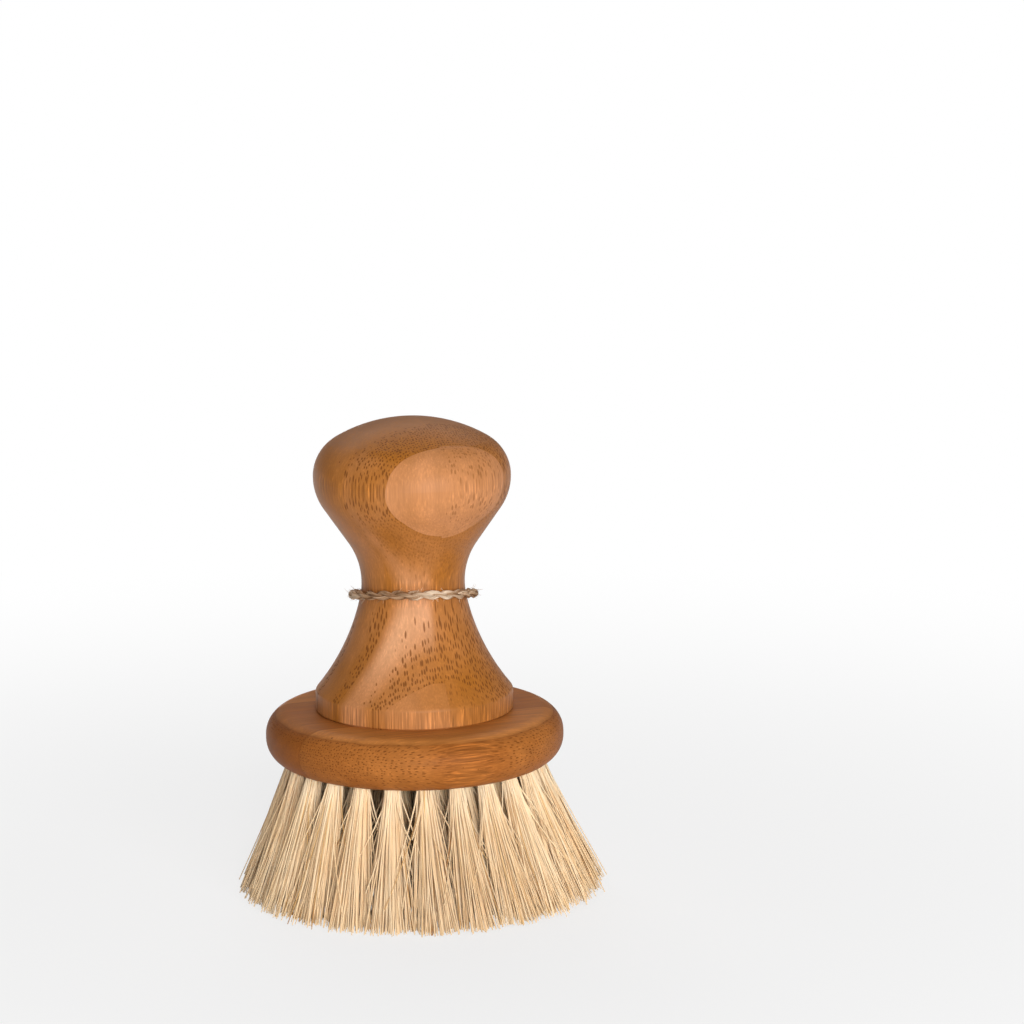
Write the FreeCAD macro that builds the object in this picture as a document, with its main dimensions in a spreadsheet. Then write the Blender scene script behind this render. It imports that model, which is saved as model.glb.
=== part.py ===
"""A round vegetable brush: a turned knob handle on a drilled block that is set with splayed fibre tufts.

Millimetres. +Z runs up the handle's axis, the origin lies on the plane of the trimmed fibre tips,
and the front of the brush faces -Y.
"""
import FreeCAD
import Part
import Sketcher

import math
import os

SIZES = {
    # Handle, heights measured from its base
    "handle_height": 61.75,
    "base_radius": 20.75,
    "base_land": 3.8,
    "base_edge": 0.35,
    "shoulder_round": 1.1,
    "neck_radius": 10.8,
    "neck_height": 27.1,
    "neck_round": 15.2,
    "neck_round_drop": 3.3,
    "knob_radius": 20.6,
    "knob_height": 49.6,
    "knob_lower_round": 11.5,
    "knob_upper_round": 9.0,
    # Largest share of the room between two neighbours that a round takes
    "round_share": 0.9,
    # Block
    "block_radius": 31.3,
    "block_thickness": 11.0,
    "block_top_round": 5.0,
    "block_bottom_round": 5.2,
    # Largest share of the thickness that the two rounds of the rim take together
    "rim_share": 0.95,
    # Tuft rings, counted from the screw outwards
    "inner_ring_radius": 6.3,
    "ring_spacing": 6.3,
    "inner_count": 5,
    "third_count": 9,
    "second_count": 16,
    "outer_count": 24,
    "inner_start": 18,
    "third_start": 10,
    "second_start": 7.5,
    "outer_start": 4,
    # Tufts and the holes that they are folded into
    "bristle_length": 27.7,
    "splay_apex": 73.0,
    "hole_diameter": 4.0,
    "hole_depth": 6.8,
    "drill_point_angle": 118,
    "tuft_clearance": 0.05,
    "tuft_gap": 0.4,
    "fold_thickness": 0.8,
    "fold_bevel": 0.6,
    # Flat wire anchors
    "anchor_width": 1.6,
    "anchor_thickness": 0.5,
    "anchor_bite": 0.5,
    "anchor_clearance": 0.05,
    # Countersunk screw between the block and the handle
    "screw_length": 30.0,
    "screw_diameter": 3.5,
    "screw_point": 4.0,
    "screw_head_diameter": 7.0,
    "screw_head_rim": 0.4,
    "screw_sink": 0.2,
    "screw_clearance": 0.05,
    "pilot_spare": 1.0,
    "drive_arms": 4,
    "drive_width": 0.9,
    "drive_span": 4.0,
    "drive_depth": 1.5,
    # Twine round the neck
    "twine_diameter": 2.2,
    "twine_height": 24.3,
    "twine_tilt": 10.5,
    "twine_clearance": 0.15,
    "twine_parting": 28,
    "twine_bend": 8.0,
    "twine_cross_gap": 0.6,
    "twine_tail": 7.0,
}

RINGS = ("inner", "third", "second", "outer")
X_AXIS = FreeCAD.Vector(1, 0, 0)
Y_AXIS = FreeCAD.Vector(0, 1, 0)
Z_AXIS = FreeCAD.Vector(0, 0, 1)
# A sketch numbers its two axes down from -1, and the ends and centre of an edge up from 1.
H_AXIS, V_AXIS = range(-1, -3, -1)
START, END, CENTRE = range(1, 4)
ORIGIN_POINT = (H_AXIS, START)


# Document and sheet

def make_sheet(doc):
    """Put every driving size into the sheet, under its own alias."""
    sheet = doc.addObject("Spreadsheet::Sheet", "sheet")
    for row, (alias, value) in enumerate(SIZES.items(), start=1):
        sheet.set(f"A{row}", alias.replace("_", " "))
        sheet.set(f"B{row}", str(value))
        sheet.setAlias(f"B{row}", alias)
    doc.recompute()
    return sheet


def size(alias):
    """A driving size as the sheet holds it."""
    return float(sheet.get(alias))


def worked_out(formula):
    """The number that a formula over the sheet gives."""
    return float(sheet.evalExpression(formula))


# Sketch helpers

def new_body(name):
    """An empty body whose label names its file."""
    body = doc.addObject("PartDesign::Body", name)
    body.Label = name
    return body


def new_sketch(body, name, plane, offset=None):
    """A sketch on one of the body's own origin planes, shifted and turned by offset."""
    sketch = body.newObject("Sketcher::SketchObject", name)
    support = next(item for item in body.Origin.OriginFeatures if item.Role == plane)
    sketch.AttachmentSupport = [(support, "")]
    sketch.MapMode = "FlatFace"
    if offset is not None:
        sketch.AttachmentOffset = offset
    return sketch


def drawn_value(sketch, kind, geometry):
    """What a dimension measures on the geometry as it is drawn."""
    if kind == "Radius":
        return sketch.Geometry[geometry[0]].Radius
    gap = sketch.getPoint(*geometry[2:]) - sketch.getPoint(*geometry[:2])
    return gap.x if kind == "DistanceX" else gap.y


def bind(sketch, kind, name, formula, *geometry):
    """Add a dimension at its drawn value and drive it by a formula over the sheet."""
    value = drawn_value(sketch, kind, geometry)
    index = sketch.addConstraint(Sketcher.Constraint(kind, *geometry, value if value > 0 else 1.0))
    sketch.renameConstraint(index, name)
    sketch.setExpression(f"Constraints.{name}", formula)


def place_point(sketch, name, geo, pos, x_formula, y_formula):
    """Set a point's two coordinates: "0" puts it on an axis, and a leading minus goes the other way."""
    for kind, axis, letter, formula in (("DistanceX", V_AXIS, "x", x_formula),
                                        ("DistanceY", H_AXIS, "y", y_formula)):
        if formula == "0":
            sketch.addConstraint(Sketcher.Constraint("PointOnObject", geo, pos, axis))
        elif formula.startswith("-"):
            bind(sketch, kind, f"{name}_{letter}", formula[1:], geo, pos, *ORIGIN_POINT)
        else:
            bind(sketch, kind, f"{name}_{letter}", formula, *ORIGIN_POINT, geo, pos)


def polygon(sketch, corners):
    """A closed run of straight lines through named corners, each given by two formulas."""
    count = len(corners)
    turn = 2 * math.pi / count
    rough = [FreeCAD.Vector(math.cos(turn * i), math.sin(turn * i), 0) for i in range(count)]
    for i in range(count):
        sketch.addGeometry(Part.LineSegment(rough[i], rough[(i + 1) % count]), False)
    for i in range(count):
        sketch.addConstraint(Sketcher.Constraint("Coincident", i, END, (i + 1) % count, START))
    for i, (name, x_formula, y_formula) in enumerate(corners):
        place_point(sketch, name, i, START, x_formula, y_formula)


def rectangle(sketch, half_width, low, high):
    """An upright rectangle centred on the sketch's own vertical axis."""
    polygon(sketch, [
        ("low_left", f"-{half_width}", low),
        ("low_right", half_width, low),
        ("high_right", half_width, high),
        ("high_left", f"-{half_width}", high),
    ])


def turn_solid(body, sketch, name):
    """Revolve a half outline about the sketch's vertical axis."""
    feature = body.newObject("PartDesign::Revolution", name)
    feature.Profile = sketch
    feature.ReferenceAxis = (sketch, ["V_Axis"])
    feature.Angle = 360
    doc.recompute()
    return feature


def turn_cut(body, sketch, name):
    """Bore a turned hole about the sketch's vertical axis."""
    before = body.Shape.Volume
    feature = body.newObject("PartDesign::Groove", name)
    feature.Profile = sketch
    feature.ReferenceAxis = (sketch, ["V_Axis"])
    feature.Angle = 360
    doc.recompute()
    require_cut(body, before, name)
    return feature


def straight_cut(body, sketch, name, length_formula, symmetric=False, reverse=False):
    """Cut a sketch straight in, to a length driven by the sheet."""
    before = body.Shape.Volume
    feature = body.newObject("PartDesign::Pocket", name)
    feature.Profile = sketch
    feature.Type = "Length"
    feature.SideType = "Symmetric" if symmetric else "One side"
    feature.Reversed = reverse
    feature.setExpression("Length", length_formula)
    doc.recompute()
    require_cut(body, before, name)
    return feature


def ring_pattern(body, originals, name, count_formula):
    """Repeat features about the body's own Z axis."""
    before = body.Shape.Volume
    pattern = body.newObject("PartDesign::PolarPattern", name)
    pattern.Originals = originals
    axis = next(item for item in body.Origin.OriginFeatures if item.Role == "Z_Axis")
    pattern.Axis = (axis, [""])
    pattern.Angle = 360
    pattern.setExpression("Occurrences", count_formula)
    body.Tip = pattern
    doc.recompute()
    require_cut(body, before, name)
    return pattern


def require_cut(body, before, name):
    """Stop if a cut took nothing away."""
    if not body.Shape.Volume < before:
        raise RuntimeError(f"{name} cuts nothing")


# Handle

def cross_tangent(first, first_round, second, second_round, side):
    """Ends of the straight line that touches two circles on opposite sides."""
    gap = second - first
    lean = math.acos((first_round + second_round) / gap.Length)
    angle = math.atan2(gap.y, gap.x) + side * lean
    normal = FreeCAD.Vector(math.cos(angle), math.sin(angle), 0)
    return first + normal * first_round, second - normal * second_round


def arc_between(centre, start, end, clockwise):
    """The arc about a centre from one end to the other, as a sketch stores it."""
    first, last = (end, start) if clockwise else (start, end)
    first_angle = math.atan2(first.y - centre.y, first.x - centre.x)
    last_angle = math.atan2(last.y - centre.y, last.x - centre.x)
    circle = Part.Circle(centre, Z_AXIS, (start - centre).Length)
    return Part.ArcOfCircle(circle, first_angle, last_angle)


def rising_round_formula(alias):
    """A size of the rounds from neck to knob, smaller where the two heights leave too little room."""
    step = "(sheet.knob_radius - sheet.neck_radius)"
    rise = "(sheet.knob_height - sheet.neck_height)"
    room = f"(({step} ^ 2 + {rise} ^ 2) / (2 * {step}))"
    rounds = "(sheet.neck_round + sheet.knob_lower_round)"
    return f"(sheet.{alias} * min(1; sheet.round_share * {room} / {rounds}))"


def dome_formula():
    """Height of the knob's dome: what is left above its widest ring, but less than a half ball's."""
    return "min(sheet.handle_height - sheet.knob_height; sheet.round_share * sheet.knob_radius)"


def crown_edge_round_formula():
    """The round between the knob's widest ring and its crown, within the dome's height."""
    return f"min(sheet.knob_upper_round; sheet.round_share * {dome_formula()})"


def handle_geometry():
    """The half outline of the handle by name: lines and tangent arcs, from the foot up to the crown.

    Under a dome that can't fill the height, a straight band stands on the knob's widest ring.
    """
    point = FreeCAD.Vector
    dome = worked_out(dome_formula())
    dome_foot = size("handle_height") - dome
    neck_round = worked_out(rising_round_formula("neck_round"))
    lower_round = worked_out(rising_round_formula("knob_lower_round"))
    upper_round = worked_out(crown_edge_round_formula())
    shoulder = point(size("base_radius") - size("shoulder_round"), size("base_land"), 0)
    neck = point(size("neck_radius") + neck_round, size("neck_height"), 0)
    lower = point(size("knob_radius") - lower_round, size("knob_height"), 0)
    upper = point(size("knob_radius") - upper_round, dome_foot, 0)
    drop = math.asin(worked_out(rising_round_formula("neck_round_drop")) / neck_round)
    inward = point(-math.cos(drop), -math.sin(drop), 0)
    blend = neck + inward * neck_round
    span = blend - shoulder
    flare_round = ((span.Length ** 2 - size("shoulder_round") ** 2)
                   / (2 * (size("shoulder_round") + span.dot(inward))))
    flare = blend - inward * flare_round
    shoulder_end = shoulder + (flare - shoulder).normalize() * size("shoulder_round")
    neck_end, knob_start = cross_tangent(neck, neck_round, lower, lower_round, 1)
    crown_round = (upper.x ** 2 + dome ** 2 - upper_round ** 2) / (2 * (dome - upper_round))
    crown = point(0, size("handle_height") - crown_round, 0)
    crown_edge = crown + (upper - crown).normalize() * crown_round
    foot = point(size("base_radius") - size("base_edge"), 0, 0)
    edge = point(size("base_radius"), size("base_edge"), 0)
    land = point(size("base_radius"), size("base_land"), 0)
    equator = point(size("knob_radius"), size("knob_height"), 0)
    dome_edge = point(size("knob_radius"), dome_foot, 0)
    top = point(0, size("handle_height"), 0)
    outline = {
        "foot": Part.LineSegment(point(0, 0, 0), foot),
        "edge": Part.LineSegment(foot, edge),
        "land": Part.LineSegment(edge, land),
        "shoulder": arc_between(shoulder, land, shoulder_end, clockwise=False),
        "flare": arc_between(flare, shoulder_end, blend, clockwise=True),
        "neck": arc_between(neck, blend, neck_end, clockwise=True),
        "rise": Part.LineSegment(neck_end, knob_start),
        "lower": arc_between(lower, knob_start, equator, clockwise=False),
    }
    if dome_foot > size("knob_height"):
        outline["band"] = Part.LineSegment(equator, dome_edge)
    outline["upper"] = arc_between(upper, dome_edge, crown_edge, clockwise=False)
    outline["crown"] = arc_between(crown, crown_edge, top, clockwise=False)
    outline["axis"] = Part.LineSegment(top, point(0, 0, 0))
    return outline


def sketch_handle(sketch):
    """Draw the handle's half outline and drive it by the sheet."""
    outline = handle_geometry()
    sketch.addGeometry(list(outline.values()), False)
    names = list(outline)
    at = names.index
    # An arc drawn clockwise is stored the other way round, so its ends swap.
    clockwise = {"flare", "neck"}
    corners = {"foot", "edge", "crown"}
    for here, after in zip(names, names[1:]):
        kind = "Coincident" if here in corners else "Tangent"
        leave = START if here in clockwise else END
        enter = END if after in clockwise else START
        sketch.addConstraint(Sketcher.Constraint(kind, at(here), leave, at(after), enter))
    sketch.addConstraint(Sketcher.Constraint("Coincident", at("axis"), END, *ORIGIN_POINT))
    sketch.addConstraint(Sketcher.Constraint("Coincident", at("foot"), START, *ORIGIN_POINT))
    sketch.addConstraint(Sketcher.Constraint("Horizontal", at("foot")))
    sketch.addConstraint(Sketcher.Constraint("Vertical", at("land")))
    sketch.addConstraint(Sketcher.Constraint("Vertical", at("axis")))
    sketch.addConstraint(Sketcher.Constraint("PointOnObject", at("crown"), CENTRE, V_AXIS))
    neck_round = rising_round_formula("neck_round")
    lower_round = rising_round_formula("knob_lower_round")
    place_point(sketch, "edge", at("edge"), END, "sheet.base_radius", "sheet.base_edge")
    bind(sketch, "DistanceX", "edge_width", "sheet.base_edge", at("foot"), END, at("edge"), END)
    bind(sketch, "DistanceY", "land_height", "sheet.base_land", *ORIGIN_POINT, at("land"), END)
    bind(sketch, "Radius", "shoulder_round", "sheet.shoulder_round", at("shoulder"))
    bind(sketch, "Radius", "neck_round", neck_round, at("neck"))
    place_point(sketch, "neck", at("neck"), CENTRE, f"sheet.neck_radius + {neck_round}", "sheet.neck_height")
    bind(sketch, "DistanceY", "neck_drop", rising_round_formula("neck_round_drop"),
         at("flare"), START, at("neck"), CENTRE)
    bind(sketch, "Radius", "lower_round", lower_round, at("lower"))
    place_point(sketch, "lower", at("lower"), CENTRE, f"sheet.knob_radius - {lower_round}",
                "sheet.knob_height")
    bind(sketch, "DistanceY", "equator", "sheet.knob_height", *ORIGIN_POINT, at("lower"), END)
    if "band" in outline:
        bind(sketch, "DistanceY", "dome", dome_formula(), at("band"), END, at("crown"), END)
    bind(sketch, "Radius", "upper_round", crown_edge_round_formula(), at("upper"))
    bind(sketch, "DistanceY", "top", "sheet.handle_height", *ORIGIN_POINT, at("crown"), END)


def make_handle():
    """The turned knob handle, bored from below for the screw."""
    body = new_body("handle")
    profile = new_sketch(body, "handle_outline", "XZ_Plane")
    sketch_handle(profile)
    turn_solid(body, profile, "handle_turning")
    bore = new_sketch(body, "pilot_outline", "XZ_Plane")
    radius = "(sheet.screw_diameter / 2 + sheet.screw_clearance)"
    depth = "(sheet.screw_sink + sheet.screw_length - sheet.block_thickness + sheet.pilot_spare)"
    point = f"{radius} / tan(sheet.drill_point_angle / 2 * 1 deg)"
    polygon(bore, [
        ("mouth", "0", "0"),
        ("rim", radius, "0"),
        ("wall", radius, depth),
        ("point", "0", f"{depth} + {point}"),
    ])
    turn_cut(body, bore, "pilot_bore")
    body.setExpression("Placement.Base.z", "sheet.bristle_length + sheet.block_thickness")
    return body


# Block

def ring_radius_formula(ring):
    """Radius of a ring of tufts on the block's underside."""
    return f"(sheet.inner_ring_radius + {RINGS.index(ring)} * sheet.ring_spacing)"


def ring_radius(ring):
    """The same radius as a number."""
    return size("inner_ring_radius") + RINGS.index(ring) * size("ring_spacing")


def ring_tilt_formula(ring):
    """Angle between a ring's tufts and the brush axis: all lean away from one point above."""
    return f"atan({ring_radius_formula(ring)} / sheet.splay_apex)"


def ring_tilt(ring):
    """The same angle as a number, in degrees."""
    return math.degrees(math.atan2(ring_radius(ring), size("splay_apex")))


def ring_azimuths(ring):
    """Directions in degrees of a ring's tufts, seen from above."""
    count = int(size(f"{ring}_count"))
    return [size(f"{ring}_start") + 360 / count * i for i in range(count)]


def hole_frame(ring):
    """Where a ring's first hole is sketched: tilted about its mouth on the block's underside."""
    turn = FreeCAD.Placement(FreeCAD.Vector(), FreeCAD.Rotation(Y_AXIS, size(f"{ring}_start")))
    shift = FreeCAD.Placement(FreeCAD.Vector(ring_radius(ring), 0, 0), FreeCAD.Rotation())
    lean = FreeCAD.Placement(FreeCAD.Vector(), FreeCAD.Rotation(Z_AXIS, ring_tilt(ring)))
    return turn * shift * lean


def drill_ring(body, ring):
    """Drill one ring of blind holes, each with the slot that its anchor bites into the wall."""
    radius = "(sheet.hole_diameter / 2)"
    mouth = f"{radius} * tan({ring_tilt_formula(ring)})"
    point = f"{radius} / tan(sheet.drill_point_angle / 2 * 1 deg)"
    hole = new_sketch(body, f"{ring}_hole_outline", "XZ_Plane", hole_frame(ring))
    polygon(hole, [
        ("below", "0", f"-({mouth})"),
        ("rim", radius, f"-({mouth})"),
        ("wall", radius, "sheet.hole_depth"),
        ("point", "0", f"sheet.hole_depth + {point}"),
    ])
    bore = turn_cut(body, hole, f"{ring}_hole")
    slot = new_sketch(body, f"{ring}_slot_outline", "XZ_Plane", hole_frame(ring))
    rectangle(slot, "(sheet.anchor_thickness / 2 + sheet.anchor_clearance)",
              "sheet.hole_depth - sheet.fold_thickness - sheet.anchor_width - sheet.anchor_clearance",
              "sheet.hole_depth - sheet.fold_thickness + sheet.anchor_clearance")
    length = "sheet.hole_diameter + 2 * sheet.anchor_bite + 2 * sheet.anchor_clearance"
    bite = straight_cut(body, slot, f"{ring}_slot", length, symmetric=True)
    ring_pattern(body, [bore, bite], f"{ring}_holes", f"sheet.{ring}_count")


def rim_round_formula(alias):
    """One of the rim's rounds, drawn in with the other when the block is too thin for both."""
    both = "(sheet.block_top_round + sheet.block_bottom_round)"
    return f"sheet.{alias} * min(1; sheet.rim_share * sheet.block_thickness / {both})"


def make_block():
    """The round block: rounded edges, a countersunk screw hole and four rings of tilted blind holes."""
    body = new_body("brush_block")
    profile = new_sketch(body, "block_outline", "XZ_Plane")
    width, height = size("block_radius"), size("block_thickness")
    low_formula, high_formula = rim_round_formula("block_bottom_round"), rim_round_formula("block_top_round")
    low_round, high_round = worked_out(low_formula), worked_out(high_formula)
    point = FreeCAD.Vector
    low_in, low_out = point(width - low_round, 0, 0), point(width, low_round, 0)
    high_out, high_in = point(width, height - high_round, 0), point(width - high_round, height, 0)
    bottom, low_arc, rim, high_arc, top, axis = range(6)
    profile.addGeometry([
        Part.LineSegment(point(0, 0, 0), low_in),
        arc_between(point(low_in.x, low_out.y, 0), low_in, low_out, clockwise=False),
        Part.LineSegment(low_out, high_out),
        arc_between(point(high_in.x, high_out.y, 0), high_out, high_in, clockwise=False),
        Part.LineSegment(high_in, point(0, height, 0)),
        Part.LineSegment(point(0, height, 0), point(0, 0, 0)),
    ], False)
    for here, after, kind in ((bottom, low_arc, "Tangent"), (low_arc, rim, "Tangent"),
                              (rim, high_arc, "Tangent"), (high_arc, top, "Tangent"),
                              (top, axis, "Coincident"), (axis, bottom, "Coincident")):
        profile.addConstraint(Sketcher.Constraint(kind, here, END, after, START))
    profile.addConstraint(Sketcher.Constraint("Coincident", bottom, START, *ORIGIN_POINT))
    profile.addConstraint(Sketcher.Constraint("Horizontal", bottom))
    profile.addConstraint(Sketcher.Constraint("Vertical", axis))
    profile.addConstraint(Sketcher.Constraint("Vertical", rim))
    profile.addConstraint(Sketcher.Constraint("Horizontal", top))
    bind(profile, "DistanceX", "block_radius", "sheet.block_radius", *ORIGIN_POINT, rim, START)
    bind(profile, "DistanceY", "block_thickness", "sheet.block_thickness", *ORIGIN_POINT, top, END)
    bind(profile, "Radius", "low_round", low_formula, low_arc)
    bind(profile, "Radius", "high_round", high_formula, high_arc)
    turn_solid(body, profile, "block_turning")

    sink = new_sketch(body, "screw_hole_outline", "XZ_Plane")
    head = "(sheet.screw_head_diameter / 2 + sheet.screw_clearance)"
    shank = "(sheet.screw_diameter / 2 + sheet.screw_clearance)"
    seat = "(sheet.screw_sink + sheet.screw_head_rim)"
    cone = "(sheet.screw_head_diameter - sheet.screw_diameter) / 2"
    polygon(sink, [
        ("mouth", "0", "0"),
        ("head_rim", head, "0"),
        ("head_seat", head, seat),
        ("cone_end", shank, f"{seat} + {cone}"),
        ("shank_end", shank, "sheet.block_thickness"),
        ("back", "0", "sheet.block_thickness"),
    ])
    turn_cut(body, sink, "screw_hole")
    for ring in RINGS:
        drill_ring(body, ring)
    body.setExpression("Placement.Base.z", "sheet.bristle_length")
    return body


# Screw

def make_screw():
    """A countersunk wood screw, head down, with a cross recess."""
    body = new_body("handle_screw")
    profile = new_sketch(body, "screw_outline", "XZ_Plane")
    head = "(sheet.screw_head_diameter / 2)"
    shank = "(sheet.screw_diameter / 2)"
    polygon(profile, [
        ("face", "0", "0"),
        ("head_rim", head, "0"),
        ("head_seat", head, "sheet.screw_head_rim"),
        ("cone_end", shank, f"sheet.screw_head_rim + {head} - {shank}"),
        ("shank_end", shank, "sheet.screw_length - sheet.screw_point"),
        ("point", "0", "sheet.screw_length"),
    ])
    turn_solid(body, profile, "screw_turning")
    recess = new_sketch(body, "drive_outline", "XY_Plane")
    rectangle(recess, "(sheet.drive_width / 2)", "0", "(sheet.drive_span / 2)")
    arm = straight_cut(body, recess, "drive_arm", "sheet.drive_depth", reverse=True)
    ring_pattern(body, [arm], "drive_cross", "sheet.drive_arms")
    body.setExpression("Placement.Base.z", "sheet.bristle_length + sheet.screw_sink")
    return body


# Tufts and anchors

def tuft_placement(ring, azimuth):
    """Stand a tuft that is modelled about its own axis, mouth at its origin, in its hole."""
    turn = FreeCAD.Placement(FreeCAD.Vector(), FreeCAD.Rotation(Z_AXIS, azimuth))
    mouth = FreeCAD.Vector(ring_radius(ring), 0, size("bristle_length"))
    shift = FreeCAD.Placement(mouth, FreeCAD.Rotation())
    lean = FreeCAD.Placement(FreeCAD.Vector(), FreeCAD.Rotation(Y_AXIS, -ring_tilt(ring)))
    return turn * shift * lean


def tip_radius_formula(ring):
    """How far a ring's tufts spread at their tips: until they nearly meet the tufts beside them."""
    growth = "(1 + sheet.bristle_length / sheet.splay_apex)"
    lean = f"cos({ring_tilt_formula('outer')})"
    between_rings = f"sheet.ring_spacing * {growth} * {lean}"
    chord = f"2 * {ring_radius_formula(ring)} * {growth} * sin(180 deg / sheet.{ring}_count)"
    return f"(min({between_rings}; {chord}) - sheet.tuft_gap) / 2"


def make_tuft(ring):
    """A ring's first tuft: folded root in the hole, a flare to the tips and a flat trim."""
    tilt = ring_tilt_formula(ring)
    name = f"tuft_{ring}_01"
    body = new_body(name)
    root = "(sheet.hole_diameter / 2 - sheet.tuft_clearance)"
    reach = f"(sheet.bristle_length / cos({tilt}))"
    tip = tip_radius_formula(ring)
    end = f"({reach} + {tip} * 2 * tan({tilt}) + sheet.tuft_gap)"
    depth = "sheet.hole_depth - sheet.tuft_clearance"
    profile = new_sketch(body, f"{name}_outline", "XZ_Plane")
    polygon(profile, [
        ("fold", "0", depth),
        ("fold_edge", f"{root} - sheet.fold_bevel", depth),
        ("root", root, f"{depth} - sheet.fold_bevel"),
        ("mouth", root, "0"),
        ("tip", f"{root} + ({tip} - {root}) * {end} / {reach}", f"-{end}"),
        ("axis", "0", f"-{end}"),
    ])
    turn_solid(body, profile, f"{name}_bundle")

    trim = new_sketch(body, f"{name}_trim_outline", "XZ_Plane")
    far = f"({end} * 2)"
    wide = f"({end} / 2)"
    polygon(trim, [
        ("inner_corner", f"-{wide}", f"-({reach} - {wide} * tan({tilt}))"),
        ("outer_corner", wide, f"-({reach} + {wide} * tan({tilt}))"),
        ("outer_foot", wide, f"-{far}"),
        ("inner_foot", f"-{wide}", f"-{far}"),
    ])
    straight_cut(body, trim, f"{name}_trim", f"{wide} * 2", symmetric=True)

    slot = new_sketch(body, f"{name}_slot_outline", "XZ_Plane")
    rectangle(slot, "(sheet.anchor_thickness / 2 + sheet.anchor_clearance)",
              "sheet.hole_depth - sheet.fold_thickness - sheet.anchor_width - sheet.anchor_clearance",
              "sheet.hole_depth - sheet.fold_thickness + sheet.anchor_clearance")
    straight_cut(body, slot, f"{name}_slot", "sheet.hole_diameter", symmetric=True)
    azimuths = ring_azimuths(ring)
    body.Placement = tuft_placement(ring, azimuths[0])
    return body


def copy_tufts(master, ring):
    """The rest of a ring: the first tuft again at each further hole."""
    copies = []
    for number, azimuth in enumerate(ring_azimuths(ring)[1:], start=2):
        copy = doc.addObject("Part::Feature", f"tuft_{ring}_{number:02d}")
        copy.Label = copy.Name
        shape = master.Shape.copy()
        shape.Placement = FreeCAD.Placement()
        copy.Shape = shape
        copy.Placement = tuft_placement(ring, azimuth)
        copies.append(copy)
    return copies


def make_anchors():
    """The flat wires across the folds, one in each hole, as one group of separate solids."""
    anchors = []
    for ring in RINGS:
        for number, azimuth in enumerate(ring_azimuths(ring), start=1):
            wire = doc.addObject("Part::Box", f"anchor_{ring}_{number:02d}")
            wire.setExpression("Length", "sheet.anchor_thickness")
            wire.setExpression("Width", "sheet.hole_diameter + 2 * sheet.anchor_bite")
            wire.setExpression("Height", "sheet.anchor_width")
            corner = FreeCAD.Vector(
                -size("anchor_thickness") / 2,
                -size("hole_diameter") / 2 - size("anchor_bite"),
                size("hole_depth") - size("fold_thickness") - size("anchor_width"),
            )
            wire.Placement = tuft_placement(ring, azimuth) * FreeCAD.Placement(corner, FreeCAD.Rotation())
            anchors.append(wire)
    group = doc.addObject("Part::Compound", "tuft_anchors")
    group.Label = "tuft_anchors"
    group.Links = anchors
    return group


# Twine

def neck_radius_at(handle, height):
    """Radius of the finished handle at a height above its base."""
    level = handle.Placement.Base.z + height
    outlines = handle.Shape.slice(Z_AXIS, level)
    return max(outline.BoundBox.XMax for outline in outlines)


def twine_path(loop_radius):
    """One open turn that leaves the neck at the back, where its two ends pass one above the other."""
    parting = math.radians(size("twine_parting"))
    lift = (size("twine_diameter") + size("twine_cross_gap")) / 2
    run = loop_radius * math.tan(parting)
    bend = size("twine_bend")
    half = (run - math.sqrt(run ** 2 - lift * (2 * bend - lift))) / (2 * bend - lift)
    climb = 2 * math.atan(half)

    def on_loop(degrees):
        angle = math.radians(degrees)
        return FreeCAD.Vector(math.cos(angle), math.sin(angle), 0) * loop_radius

    def end_run(side):
        """Points from the loop outwards on one side: start and middle of the bend, its end, the tip."""
        leave = on_loop(90 + side * size("twine_parting"))
        along = FreeCAD.Vector(side * math.cos(parting), math.sin(parting), 0)
        up = Z_AXIS * side
        middle = leave + along * bend * math.sin(climb / 2) + up * bend * (1 - math.cos(climb / 2))
        bend_end = leave + along * bend * math.sin(climb) + up * bend * (1 - math.cos(climb))
        straight = (run - bend * math.sin(climb)) / math.cos(climb) + size("twine_tail")
        slope = along * math.cos(climb) + up * math.sin(climb)
        return leave, middle, bend_end, bend_end + slope * straight

    left, left_middle, left_end, left_tip = end_run(1)
    right, right_middle, right_end, right_tip = end_run(-1)
    first = 90 + size("twine_parting")
    last = 450 - size("twine_parting")
    quarter = (last - first) / 4
    stops = [on_loop(first + quarter * i) for i in range(5)]
    edges = [
        Part.LineSegment(left_tip, left_end).toShape(),
        Part.Arc(left_end, left_middle, left).toShape(),
        Part.Arc(stops[0], stops[1], stops[2]).toShape(),
        Part.Arc(stops[2], stops[3], stops[4]).toShape(),
        Part.Arc(right, right_middle, right_end).toShape(),
        Part.LineSegment(right_end, right_tip).toShape(),
    ]
    return Part.Wire(edges)


def least_gap(path, diameter):
    """The narrowest gap that the twine leaves to itself, measured on points along its path."""
    points = path.discretize(Number=400)
    step = path.Length / (len(points) - 1)
    apart = int(math.pi * diameter / step)
    gaps = [(points[i] - points[j]).Length - diameter
            for i in range(len(points)) for j in range(i + apart, len(points))]
    return min(gaps)


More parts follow.
